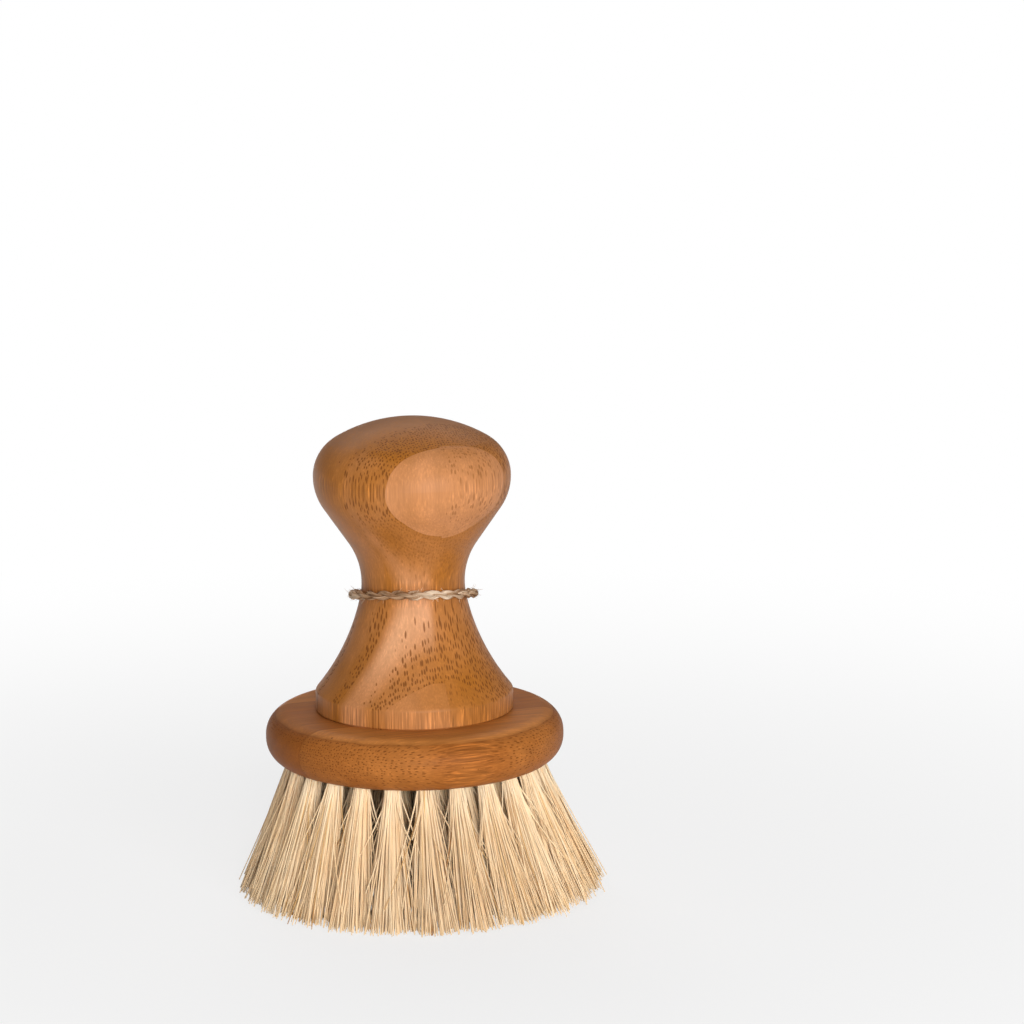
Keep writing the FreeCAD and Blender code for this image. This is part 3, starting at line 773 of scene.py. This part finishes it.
@dataclass(frozen=True)
class SteelFinish:
    """Zinc-plated steel, dull and slightly mottled."""

    name: str
    bright: Colour = linear(0.62, 0.62, 0.6)
    dull: Colour = linear(0.4, 0.4, 0.39)
    mottle_scale: float = 900.0
    gloss: Range = (0.28, 0.46)
    bump_strength: float = 0.1
    bump_depth: float = 0.05 * MM

    def material(self) -> bpy.types.Material:
        """Build the material.

        Returns:
            The finished material.
        """
        material, graph, shader = new_material(self.name)
        here = graph.node("TexCoord").outputs["Object"]
        mottle = graph.noise(here, self.mottle_scale, detail=4.0, rough=0.6)
        graph.feed(shader.inputs["Base Color"], graph.mix(mottle, self.dull, self.bright))
        graph.feed(shader.inputs["Roughness"], graph.remap(mottle, NOISE_SPREAD, self.gloss))
        shader.inputs["Metallic"].default_value = 1.0
        bump = graph.node("Bump", {"Height": mottle, "Strength": self.bump_strength,
                                   "Distance": self.bump_depth})
        graph.feed(shader.inputs["Normal"], bump.outputs[0])
        return material


# Strands

def mesh_of(curve: bpy.types.Curve) -> bpy.types.Mesh:
    """Sweep a curve to a mesh, or to the points of its line where it has no bevel.

    Args:
        curve: The curve.

    Returns:
        The new mesh.
    """
    holder = bpy.data.objects.new(curve.name, curve)
    bpy.context.scene.collection.objects.link(holder)
    shape = holder.evaluated_get(bpy.context.evaluated_depsgraph_get())
    mesh = bpy.data.meshes.new_from_object(shape)
    bpy.data.objects.remove(holder)
    return mesh


class StrandMesh:
    """Many thin strands, each a run of points, swept to one mesh with a tone for every strand."""

    SIDES = 4
    CLOSED = 0.05
    CLOSING = 0.3

    def __init__(self, name: str, radius: float) -> None:
        """Start an empty bundle.

        Args:
            name: The name of its object.
            radius: The radius of a strand of full width.
        """
        self.name = name
        self.curve = bpy.data.curves.new(name, "CURVE")
        self.curve.dimensions = "3D"
        self.curve.bevel_depth = radius
        self.curve.bevel_resolution = 0
        self.closing = self.CLOSING * radius
        self.tones: list[float] = []

    def add(self, points: list[Vector], tone: float, widths: list[float]) -> None:
        """Add one strand, drawn in at both ends so that it is closed.

        Args:
            points: Its centre line.
            tone: Its tone from 0 to 1.
            widths: Its width at each point, as a share of the bundle's.
        """
        first = points[0] + (points[0] - points[1]).normalized() * self.closing
        last = points[-1] + (points[-1] - points[-2]).normalized() * self.closing
        line = [first, *points, last]
        spline = self.curve.splines.new("POLY")
        spline.points.add(len(line) - 1)
        for knot, point, width in zip(spline.points, line, [self.CLOSED, *widths, self.CLOSED]):
            knot.co = (*point, 1.0)
            knot.radius = width
        self.tones.extend([tone] * (len(line) * self.SIDES))

    def finish(self, material: bpy.types.Material) -> bpy.types.Object:
        """Turn the strands into one mesh object.

        Args:
            material: The finish of the strands.

        Returns:
            The new object, in the scene.
        """
        mesh = mesh_of(self.curve)
        if len(mesh.vertices) != len(self.tones):
            raise ValueError(f"{self.name}: {len(mesh.vertices)} vertices for {len(self.tones)} tones")
        attribute = mesh.attributes.new(TONE, "FLOAT", "POINT")
        attribute.data.foreach_set("value", self.tones)
        mesh.materials.clear()
        mesh.materials.append(material)
        made = bpy.data.objects.new(self.name, mesh)
        bpy.context.scene.collection.objects.link(made)
        return made


def dress(node: str, material: bpy.types.Material) -> None:
    """Give a CAD node a better material.

    Args:
        node: The node's name.
        material: Its new material.
    """
    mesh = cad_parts[node].data
    mesh.materials.clear()
    mesh.materials.append(material)
    log.info("%s: %s", node, material.name)


# Wooden pieces and steel

@dataclass
class TurnedHandle:
    """The knob handle and the screw that holds it."""

    node: str = "handle"
    screw_node: str = "handle_screw"
    face_turn: float = 17.0

    def finish(self) -> BambooFinish:
        """Honey-coloured bamboo with upright strips, the outer one cut away to an oval on the knob.

        Returns:
            The values of the finish.
        """
        return BambooFinish(
            name="handle_honey_bamboo", lay=turned_lay(self.face_turn),
            pale=linear(0.525, 0.228, 0.094), deep=linear(0.345, 0.119, 0.0155),
            # The heart colour is the flare's paler soft wood with a painted highlight mixed in.
            heart_and_highlight=linear(0.62, 0.31, 0.155), bundle=linear(0.14, 0.041, 0.006),
            thickness=9.0, depth_offset=17.0, width=26.0, width_offset=1.3, step=0.3,
            even_reach=1.4, odd_reach=0.4, reach_rise=0.011, deep_share=0.6, deep_end=(60.0, 72.0),
            base_depth=0.6, dense_depth=0.12, odd_and_shade_depth=0.0, end_depth=0.4, soft_paling=0.55, heart_and_highlight_share=1.0,
            fine_spacing=0.6, fine_size=0.43, coarse_spacing=0.56, coarse_size=0.42, dot_strength=0.78,
            side_dots=0.7, faint_dots=0.4, skin_dots=0.6, streak=0.1, side_streak=3.2,
            skin_paling=0.8, low_paling=0.0, skin_sparing=0.5, glue_strength=0.07, glue_width=0.1)

    def build(self, patterns: BambooPatterns, steel: bpy.types.Material) -> None:
        """Dress the handle and its screw."""
        dress(self.node, BambooSurface(self.finish(), patterns).build())
        dress(self.screw_node, steel)


@dataclass
class BrushBlock:
    """The drilled block and the flat wires that staple its tufts."""

    node: str = "brush_block"
    anchor_node: str = "tuft_anchors"
    fibre_turn: float = 21.0
    strip_edge: float = 10.5
    # The pale skin layer reaches this far down from the top; its paleness partly paints light on the top
    # face.
    skin_depth: float = 0.9

    def finish(self) -> BambooFinish:
        """Redder bamboo with flat strips, cut across their ends on the left and right of the rim.

        Returns:
            The values of the finish.
        """
        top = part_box(self.node)[1].z
        return BambooFinish(
            name="block_russet_bamboo", lay=flat_lay(self.fibre_turn),
            pale=linear(0.495, 0.186, 0.043), deep=linear(0.28, 0.085, 0.0145),
            heart_and_highlight=linear(0.495, 0.186, 0.043), bundle=linear(0.12, 0.034, 0.005),
            # The top face lies in the pale skin layer, lighter partly as skin and partly as painted light on
            # the dimly lit top.
            thickness=11.5, depth_offset=top / MM - self.skin_depth, width=24.0, width_offset=self.strip_edge,
            step=0.0, even_reach=0.7, odd_reach=0.15, reach_rise=0.0, deep_share=1.0, deep_end=(-91.0, -90.0),
            # The odd strips cover the left of the rim, and their depth is partly painted shade there.
            base_depth=0.7, dense_depth=-0.08, odd_and_shade_depth=0.5, end_depth=0.0, soft_paling=0.0, heart_and_highlight_share=0.0,
            fine_spacing=0.56, fine_size=0.31, coarse_spacing=0.56, coarse_size=0.31, dot_strength=0.7,
            side_dots=0.25, streak=0.12, side_streak=3.6,
            skin_paling=0.9, low_paling=0.0, skin_sparing=0.8, glue_strength=0.3, glue_width=0.45,
            pit_spacing=3.8, roughness=0.48, specular=0.09)

    def build(self, patterns: BambooPatterns, steel: bpy.types.Material) -> None:
        """Dress the block and its wires."""
        dress(self.node, BambooSurface(self.finish(), patterns).build())
        dress(self.anchor_node, steel)


# Tufts

@dataclass(frozen=True)
class TuftStand:
    """Where one tuft stands: the middle of its trimmed end, its hole's mouth and its directions."""

    tip: Vector
    mouth: Vector
    axis: Vector
    outward: Vector
    sideways: Vector


@dataclass
class TuftField:
    """The splayed fibre tufts, one piece for each hole."""

    block_node: str = "brush_block"
    splay_apex: float = 73.0 * MM
    trim_band: float = 0.01 * MM
    root_depth: float = 2.5 * MM
    root_radius: float = 1.62 * MM
    spread: Range = (0.75, 1.1)
    tip_spread_round: float = 5.4 * MM
    tip_spread_out: float = 3.6 * MM
    tip_scatter: float = 0.75 * MM
    tip_lean: float = 1.2 * MM
    fibre_radius: float = 0.175 * MM
    widths: Range = (0.75, 1.1)
    taper: float = 0.3
    bow: float = 0.4 * MM
    trim_ragged: float = 0.6 * MM
    trim_tilt: float = 0.014
    short_share: float = 0.06
    short_by: float = 5.0 * MM
    golden_share: float = 0.04
    golden_tones: Range = (0.0, 0.15)
    cream_tone: float = 0.58
    cream_scatter: float = 0.09
    stray_count: int = 7
    stray_reach: Range = (5.0 * MM, 11.0 * MM)
    stray_length: Range = (0.3, 0.9)
    flare_out: float = 1.12
    flare_round: float = 1.35
    steps: int = 5
    seed: int = 41
    ring_seed: int = 100

    def finish(self) -> FibreFinish:
        """Cream to straw, with a few golden-brown fibres.

        Returns:
            The values of the finish.
        """
        return FibreFinish(
            name="cream_plant_fibre",
            tones=((0.0, linear(0.42, 0.19, 0.045)), (0.14, linear(0.66, 0.40, 0.155)),
                   (0.5, linear(0.82, 0.575, 0.322)), (1.0, linear(0.92, 0.745, 0.51))),
            # The fibres turn paler towards the block as painted light for their brightly lit roots.
            roughness=0.55, streak_scale=260.0, root_light_range=(0.018, 0.028), root_painted_light=0.25, sheen=0.2,
            patch_scale=60.0, patch_offset=(0.05, 0.0, 0.0))

    def build(self) -> None:
        """Build every tuft in place of its plain CAD solid."""
        material = self.finish().material()
        for ring in Ring:
            prefix = f"tuft_{ring.word}_"
            nodes = sorted(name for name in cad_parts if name.startswith(prefix))
            for number, node in enumerate(nodes):
                draw = random.Random(self.seed + self.ring_seed * ring.fibres + number)
                piece = self._tuft(node, ring.fibres, draw, material)
                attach(piece, BODY)
                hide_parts(node)
                log.info("%s: %d fibres", piece.name, ring.fibres)

    def _tuft(self, node: str, count: int, draw: random.Random,
              material: bpy.types.Material) -> bpy.types.Object:
        """Build one tuft.

        Args:
            node: The CAD node that it replaces.
            count: How many fibres it has.
            draw: Its own source of chance.
            material: The fibres' finish.

        Returns:
            The tuft's object.
        """
        stand = self._stand(node)
        narrowing = [1.0] + [1.0 - self.taper * step / self.steps for step in range(self.steps + 1)]
        strands = StrandMesh(node.replace("tuft_", "fibres_"), self.fibre_radius)
        for number in range(count + self.stray_count):
            start, end = self._ends(stand, number >= count, draw)
            points = self._line(stand, start, end, draw)
            width = draw.uniform(*self.widths)
            strands.add(points, self._tone(draw), [width * share for share in narrowing])
        return strands.finish(material)

    def _stand(self, node: str) -> TuftStand:
        """Read from its CAD node where a tuft stands.

        Args:
            node: The tuft's CAD node.

        Returns:
            Its stand.
        """
        mouth_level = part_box(self.block_node)[0].z
        trim_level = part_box(node)[0].z + self.trim_band
        trimmed = [vertex.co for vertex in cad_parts[node].data.vertices if vertex.co.z < trim_level]
        tip = sum(trimmed, Vector()) / len(trimmed)
        outward = Vector((tip.x, tip.y, 0.0)).normalized()
        sideways = Vector((-outward.y, outward.x, 0.0))
        mouth = tip / (1.0 + mouth_level / self.splay_apex)
        mouth.z = mouth_level
        return TuftStand(tip, mouth, (mouth - tip).normalized(), outward, sideways)

    def _ends(self, stand: TuftStand, stray: bool, draw: random.Random) -> tuple[Vector, Vector]:
        """Draw where one fibre leaves the hole and where it ends.

        Args:
            stand: Where its tuft stands.
            stray: Whether it crosses to a neighbour.
            draw: The tuft's source of chance.

        Returns:
            Its two ends.
        """
        spin = draw.uniform(0.0, FULL_TURN)
        share = math.sqrt(draw.random())
        around = stand.outward * math.cos(spin) + stand.sideways * math.sin(spin)
        start = stand.mouth + around * (share * self.root_radius)
        spread = share * draw.uniform(*self.spread)
        out = spread * self.tip_spread_out * math.cos(spin) + draw.gauss(0.0, self.tip_scatter)
        aside = spread * self.tip_spread_round * math.sin(spin) + draw.gauss(0.0, self.tip_scatter)
        end = stand.tip + stand.outward * out + stand.sideways * aside + Vector((self.tip_lean, 0.0, 0.0))
        ragged = self.trim_ragged * draw.random() ** 2
        end.z = self.fibre_radius + ragged + self.trim_tilt * max(0.0, end.x)
        if stray:
            reach = math.copysign(draw.uniform(*self.stray_reach), math.sin(spin))
            end = start.lerp(end + stand.sideways * reach, draw.uniform(*self.stray_length))
        elif draw.random() < self.short_share:
            end = end.lerp(start, draw.random() * self.short_by / stand.mouth.z)
        return start, end

    def _line(self, stand: TuftStand, start: Vector, end: Vector, draw: random.Random) -> list[Vector]:
        """Lead one fibre from inside its hole to its end, flared and a little bowed.

        Args:
            stand: Where its tuft stands.
            start: Where it leaves the hole.
            end: Where it ends.
            draw: The tuft's source of chance.

        Returns:
            The points of its centre line.
        """
        bend = stand.outward * draw.gauss(0.0, self.bow) + stand.sideways * draw.gauss(0.0, self.bow)
        reach = end - start
        aside = stand.sideways * reach.dot(stand.sideways)
        fall = Vector((0.0, 0.0, reach.z))
        beyond = reach - aside - fall
        points = [start + stand.axis * self.root_depth]
        for step in range(self.steps + 1):
            along = step / self.steps
            bowed = bend * (4.0 * along * (1.0 - along))
            flared = start + aside * along ** self.flare_round + beyond * along ** self.flare_out
            points.append(flared + fall * along + bowed)
        return points

    def _tone(self, draw: random.Random) -> float:
        """Draw one fibre's tone: mostly cream, now and then golden brown.

        Args:
            draw: The tuft's source of chance.

        Returns:
            The tone from 0 to 1.
        """
        if draw.random() < self.golden_share:
            return draw.uniform(*self.golden_tones)
        return min(1.0, max(self.golden_tones[1], draw.gauss(self.cream_tone, self.cream_scatter)))


# Twine

@dataclass(frozen=True)
class LoopPlane:
    """The tilted plane of the twine's loop round the neck."""

    centre: Vector
    radius: float
    across: Vector
    back: Vector
    up: Vector

    def place(self, x: float, y: float, z: float) -> Vector:
        """The point that lies so far across, back and up from the loop's centre."""
        return self.centre + self.across * x + self.back * y + self.up * z


@dataclass
class NeckTwine:
    """Two-ply jute twine, tied round the neck with a half knot at the back."""

    node: str = "neck_twine"
    thickness: float = 2.2 * MM
    tilt: float = math.radians(10.5)
    parting: float = math.radians(28.0)
    loop_steps: int = 44
    knot_half: float = 4.0 * MM
    knot_turns: float = 1.5
    knot_steps: int = 14
    knot_radius: float = 1.05 * MM
    knot_room: float = 0.3 * MM
    tail_steps: int = 4
    tail_drop: float = 8.0 * MM
    tail_reach: float = 5.5 * MM
    tail_swing: float = 1.4
    tail_lift: float = 0.25
    tail_fall: float = 1.6
    lay: float = 7.0 * MM
    plies: int = 2
    ply_offset: float = 0.46 * MM
    strands: int = 11
    strand_offset: float = 0.43 * MM
    strand_scatter: Range = (0.85, 1.1)
    strand_lay: float = 9.0 * MM
    strand_radius: float = 0.15 * MM
    strand_widths: Range = (0.8, 1.15)
    core_width: float = 1.5
    strand_tone: float = 0.55
    tone_scatter: float = 0.2
    swell: float = 0.12
    swell_length: float = 1.7 * MM
    fray_length: float = 4.0 * MM
    fray_growth: float = 1.8
    spacing: float = 0.45 * MM
    hairs: int = 170
    hair_radius: float = 0.035 * MM
    hair_length: float = 1.2 * MM
    hair_lengths: Range = (0.35, 1.3)
    hair_root: float = 0.75
    hair_inward: float = -0.1
    hair_slant: Range = (-1.0, 1.0)
    hair_rise: Range = (0.25, 0.9)
    hair_curl: float = 0.5
    hair_shares: tuple[float, ...] = (0.0, 0.35, 0.7, 1.0)
    hair_taper: tuple[float, ...] = (1.0, 1.0, 1.0, 0.5)
    hair_tones: Range = (0.5, 1.0)
    seed: int = 7

    def finish(self) -> FibreFinish:
        """Grey-beige jute with brown strands.

        Returns:
            The values of the finish.
        """
        return FibreFinish(
            name="grey_jute", roughness=0.75, streak_scale=700.0,
            tones=((0.0, linear(0.17, 0.08, 0.032)), (0.35, linear(0.36, 0.21, 0.11)),
                   (0.65, linear(0.52, 0.36, 0.235)), (1.0, linear(0.70, 0.55, 0.40))),
            patch_scale=70.0, patch_depth=0.35, patch_offset=(0.075, 0.0, 0.0))

    def build(self) -> None:
        """Build the twine in place of its plain CAD tube."""
        draw = random.Random(self.seed)
        route = self._route()
        frames = self._frames(route)
        strands = StrandMesh("jute_twine", self.strand_radius)
        for ply in range(self.plies):
            for strand in range(self.strands):
                self._strand(strands, route, frames, (ply, strand), draw)
        self._hairs(strands, route, frames, draw)
        piece = strands.finish(self.finish().material())
        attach(piece, BODY)
        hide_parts(self.node)
        log.info("%s: %.1f mm from tail to tail", piece.name, len(route) * self.spacing / MM)

    def _plane(self) -> LoopPlane:
        """Read from the CAD tube's box how the loop lies.

        Returns:
            The loop's plane.
        """
        low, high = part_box(self.node)
        half = self.thickness / 2.0
        radius = high.x - half
        level, slope = math.cos(self.tilt), math.sin(self.tilt)
        centre = Vector((0.0, low.y + radius * level + half, high.z - radius * slope - half))
        return LoopPlane(centre, radius, across=Vector((1.0, 0.0, 0.0)), back=Vector((0.0, level, -slope)),
                         up=Vector((0.0, slope, level)))

    def _knot_run(self, plane: LoopPlane, side: float) -> list[Vector]:
        """One end's way through the knot and down its tail.

        Args:
            plane: The loop's plane.
            side: Minus one or one: the side where the end comes in.

        Returns:
            The points of its way.
        """
        knot = plane.radius / math.cos(self.parting) + self.knot_room
        run = []
        for step in range(self.knot_steps + 1):
            share = step / self.knot_steps
            turn = share * self.knot_turns * FULL_TURN
            run.append(plane.place(side * self.knot_half * (1.0 - 2.0 * share),
                                   knot + self.knot_radius * math.sin(turn) * side,
                                   self.knot_radius * math.cos(turn)))
        for step in range(1, self.tail_steps + 1):
            share = step / self.tail_steps
            swing = self.tail_reach * math.sin(share * self.tail_swing)
            run.append(plane.place(-side * (self.knot_half + swing),
                                   knot + self.tail_lift * self.tail_reach * share,
                                   -self.knot_radius - self.tail_drop * share ** self.tail_fall))
        return run

    def _route(self) -> list[Vector]:
        """Lead the twine through the knot, round the neck and back through the knot.

        Returns:
            Points along its centre line, evenly spaced from tail to tail.
        """
        plane = self._plane()
        first = math.pi / 2.0 + self.parting
        last = first + FULL_TURN - 2.0 * self.parting
        loop = []
        for step in range(self.loop_steps + 1):
            angle = first + (last - first) * step / self.loop_steps
            loop.append(plane.place(plane.radius * math.cos(angle), plane.radius * math.sin(angle), 0.0))
        control = list(reversed(self._knot_run(plane, -1.0))) + loop + self._knot_run(plane, 1.0)
        curve = bpy.data.curves.new("twine_route", "CURVE")
        curve.dimensions = "3D"
        spline = curve.splines.new("NURBS")
        spline.points.add(len(control) - 1)
        for knot, point in zip(spline.points, control):
            knot.co = (*point, 1.0)
        spline.order_u = 3
        spline.use_endpoint_u = True
        spline.resolution_u = 8
        line = mesh_of(curve)
        points = [vertex.co.copy() for vertex in line.vertices]
        bpy.data.meshes.remove(line)
        return self._even(points)

    def _even(self, points: list[Vector]) -> list[Vector]:
        """Space points evenly along a line.

        Args:
            points: The line's points.

        Returns:
            New points, about the twine's spacing apart.
        """
        lengths = [(after - here).length for here, after in zip(points, points[1:])]
        count = round(sum(lengths) / self.spacing)
        step = sum(lengths) / count
        even = [points[0]]
        passed = 0.0
        target = step
        for here, after, length in zip(points, points[1:], lengths):
            while target <= passed + length and len(even) < count:
                even.append(here.lerp(after, (target - passed) / length))
                target += step
            passed += length
        even.append(points[-1])
        return even

    @staticmethod
    def _frames(route: list[Vector]) -> Frames:
        """A tangent and two steady normals at each point of the route.

        Args:
            route: The twine's centre line.

        Returns:
            The three directions at each point.
        """
        frames = []
        normal = Vector((0.0, 0.0, 1.0))
        for index, _ in enumerate(route):
            before = route[max(index - 1, 0)]
            after = route[min(index + 1, len(route) - 1)]
            tangent = (after - before).normalized()
            normal = (normal - tangent * normal.dot(tangent)).normalized()
            frames.append((tangent, normal, tangent.cross(normal)))
        return frames

    def _strand(self, strands: StrandMesh, route: list[Vector], frames: Frames, number: tuple[int, int],
                draw: random.Random) -> None:
        """Lay one strand of one ply along the route.

        Args:
            strands: The bundle that takes it.
            route: The twine's centre line.
            frames: The directions at each of its points.
            number: The ply, and the strand in it. The first strand is the ply's core.
            draw: The twine's source of chance.
        """
        ply, strand = number
        core = strand == 0
        offset = 0.0 if core else self.strand_offset * draw.uniform(*self.strand_scatter)
        phase = FULL_TURN * strand / (self.strands - 1)
        stray = draw.uniform(0.0, FULL_TURN)
        points = []
        for index, (point, (_, normal, side)) in enumerate(zip(route, frames)):
            length = index * self.spacing
            end = min(length, (len(route) - 1) * self.spacing - length)
            fray = max(0.0, 1.0 - end / self.fray_length)
            loose = 1.0 + self.fray_growth * fray * fray
            turn = FULL_TURN * (length / self.lay + ply / self.plies)
            twist = phase - FULL_TURN * length / self.strand_lay
            wave = 1.0 + self.swell * math.sin(length / self.swell_length + stray)
            ply_place = (normal * math.cos(turn) + side * math.sin(turn)) * self.ply_offset * loose
            own = (normal * math.cos(twist) + side * math.sin(twist)) * offset * wave * loose
            points.append(point + ply_place + own)
        tone = min(1.0, max(0.0, draw.gauss(self.strand_tone, self.tone_scatter)))
        width = self.core_width if core else draw.uniform(*self.strand_widths)
        strands.add(points, tone, [width] * len(points))

    def _hairs(self, strands: StrandMesh, route: list[Vector], frames: Frames, draw: random.Random) -> None:
        """Add loose hairs that stand out from the twine, away from the neck.

        Args:
            strands: The bundle that takes them.
            route: The twine's centre line.
            frames: The directions at each of its points.
            draw: The twine's source of chance.
        """
        widths = [share * self.hair_radius / self.strand_radius for share in self.hair_taper]
        for _ in range(self.hairs):
            index = draw.randrange(len(route))
            tangent, normal, side = frames[index]
            turn = draw.uniform(0.0, FULL_TURN)
            away = normal * math.cos(turn) + side * math.sin(turn)
            radial = Vector((route[index].x, route[index].y, 0.0)).normalized()
            if away.dot(radial) < self.hair_inward:
                away = -away
            start = route[index] + away * (self.hair_root * self.thickness / 2.0)
            lean = tangent * draw.uniform(*self.hair_slant) + away * draw.uniform(*self.hair_rise)
            curl = radial * draw.uniform(0.0, self.hair_curl)
            curl += Vector((0.0, 0.0, draw.uniform(-self.hair_curl, self.hair_curl)))
            length = self.hair_length * draw.uniform(*self.hair_lengths)
            points = [start + (lean * share + curl * share * share) * length for share in self.hair_shares]
            strands.add(points, draw.uniform(*self.hair_tones), widths)


# Studio

@dataclass(frozen=True)
class Softbox:
    """One soft lamp: where it hangs, its width and height in metres and its power in watts."""

    name: str
    place: Triple
    size: Range
    power: float
    mirrored: bool = True

    def build(self) -> None:
        """Hang the lamp so that it faces the brush; the lacquer mirrors it only where that is wanted."""
        lamp = bpy.data.lights.new(self.name, "AREA")
        lamp.shape = "RECTANGLE"
        lamp.size, lamp.size_y = self.size
        lamp.energy = self.power
        holder = bpy.data.objects.new(self.name, lamp)
        holder.location = self.place
        holder.visible_glossy = self.mirrored
        low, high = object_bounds()
        holder.rotation_euler = ((low + high) / 2.0 - holder.location).to_track_quat("-Z", "Y").to_euler()
        bpy.context.scene.collection.objects.link(holder)


SOFTBOXES = (
    Softbox("key_softbox", (0.7, -1.68, 0.42), (1.1, 0.9), 21.0),
    Softbox("fill_softbox", (0.25, -1.8, 0.1), (0.8, 0.2), 6.5),
    Softbox("lens_softbox", (0.09, -1.75, 0.46), (0.3, 0.3), 9.0, mirrored=False),
    Softbox("brow_softbox", (0.1, -1.1, 1.45), (0.5, 0.4), 3.5),
    Softbox("back_softbox", (-0.1, 1.0, 1.0), (1.4, 0.7), 4.3),
    Softbox("rear_softbox", (-0.25, 1.8, 0.16), (1.2, 0.4), 20.0, mirrored=False),
)


@dataclass
class Studio:
    """Pale floor, soft light and the camera at the photograph's angle."""

    block_node: str = "brush_block"
    floor_half: float = 6.0
    floor_colour: Colour = linear(0.86, 0.86, 0.86)
    floor_roughness: float = 0.9
    floor_glow: Range = (0.72, 1.0)
    glow_reach: Range = (0.06, 0.35)
    world_level: float = 0.17
    mirrored_level: float = 0.3
    frame_pixels: float = 1024.0
    sensor: float = 36.0
    focal_pixels: float = 3797.0
    distance: float = 0.8
    elevation: float = math.radians(13.757)
    aim_pixel: Range = (414.6, 707.05)
    roll: float = math.radians(-0.7)

    def build(self) -> None:
        """Build the floor, the world, the lamps and the camera."""
        self._floor()
        self._world()
        for softbox in SOFTBOXES:
            softbox.build()
        self._camera()
        bpy.context.scene.view_settings.view_transform = "Standard"

    def _floor(self) -> None:
        """A wide plain floor that keeps the shadow and looks white to the camera."""
        bpy.ops.mesh.primitive_plane_add(size=2.0 * self.floor_half)
        floor = bpy.context.object
        floor.name = "studio_floor"
        material, graph, shader = new_material("studio_white")
        shader.inputs["Base Color"].default_value = self.floor_colour
        shader.inputs["Roughness"].default_value = self.floor_roughness
        shader.inputs["Specular IOR Level"].default_value = 0.0
        glow = graph.node("Emission", {"Color": WHITE, "Strength": 1.0})
        blend = graph.node("MixShader")
        here = graph.node("TexCoord").outputs["Object"]
        reach = graph.vector("LENGTH", here).outputs["Value"]
        share = graph.remap(reach, self.glow_reach, self.floor_glow, smooth=True)
        graph.feed(blend.inputs[0], graph.times(self._seen(graph), share))
        graph.feed(blend.inputs[1], shader.outputs[0])
        graph.feed(blend.inputs[2], glow.outputs[0])
        output = material.node_tree.nodes["Material Output"]
        graph.feed(output.inputs["Surface"], blend.outputs[0])
        floor.data.materials.append(material)
        floor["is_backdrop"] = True

    @staticmethod
    def _seen(graph: Graph) -> Socket:
        """Find the rays that come from the camera, straight or by reflection or through glass.

        Args:
            graph: The graph of the material.

        Returns:
            One for such a ray.
        """
        path = graph.node("LightPath").outputs
        seen = graph.math("MAXIMUM", path["Is Camera Ray"], path["Is Glossy Ray"])
        return graph.math("MAXIMUM", seen, path["Is Transmission Ray"])

    def _world(self) -> None:
        """Even white light all round, and plain white where the camera sees it."""
        world = bpy.data.worlds.new("studio")
        world.use_nodes = True
        graph = Graph(world.node_tree)
        background = world.node_tree.nodes["Background"]
        background.inputs["Color"].default_value = WHITE
        path = graph.node("LightPath").outputs
        plain = graph.remap(path["Is Camera Ray"], RISING, (self.world_level, 1.0))
        mirrored = graph.times(path["Is Glossy Ray"], self.mirrored_level)
        graph.feed(background.inputs["Strength"], graph.math("MAXIMUM", plain, mirrored))
        bpy.context.scene.world = world

    def _camera(self) -> None:
        """Aim the camera so that the middle of the block's top falls on its pixel in the photograph."""
        target = Vector((0.0, 0.0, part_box(self.block_node)[1].z))
        back = Vector((0.0, -math.cos(self.elevation), math.sin(self.elevation)))
        straight = back.to_track_quat("Z", "Y")
        middle = self.frame_pixels / 2.0
        pixel = Vector(((self.aim_pixel[0] - middle) / self.focal_pixels,
                        (middle - self.aim_pixel[1]) / self.focal_pixels, -1.0))
        aside = pixel.rotation_difference(Vector((0.0, 0.0, -1.0)))
        rolled = Quaternion((0.0, 0.0, 1.0), self.roll)
        camera = bpy.data.cameras.new("photo_camera")
        camera.sensor_width = self.sensor
        camera.lens = self.focal_pixels / self.frame_pixels * self.sensor
        holder = bpy.data.objects.new("photo_camera", camera)
        turn = straight @ rolled @ aside
        holder.matrix_world = Matrix.Translation(target + back * self.distance) @ turn.to_matrix().to_4x4()
        bpy.context.scene.collection.objects.link(holder)
        bpy.context.scene.camera = holder


def main() -> None:
    """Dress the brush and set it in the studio."""
    logging.basicConfig(level=logging.INFO, format="%(message)s")
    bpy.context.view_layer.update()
    patterns = BambooPatterns()
    steel = SteelFinish("zinc_plated_steel").material()
    TurnedHandle().build(patterns, steel)
    BrushBlock().build(patterns, steel)
    TuftField().build()
    NeckTwine().build()
    Studio().build()


if __name__ == "__main__":
    main()
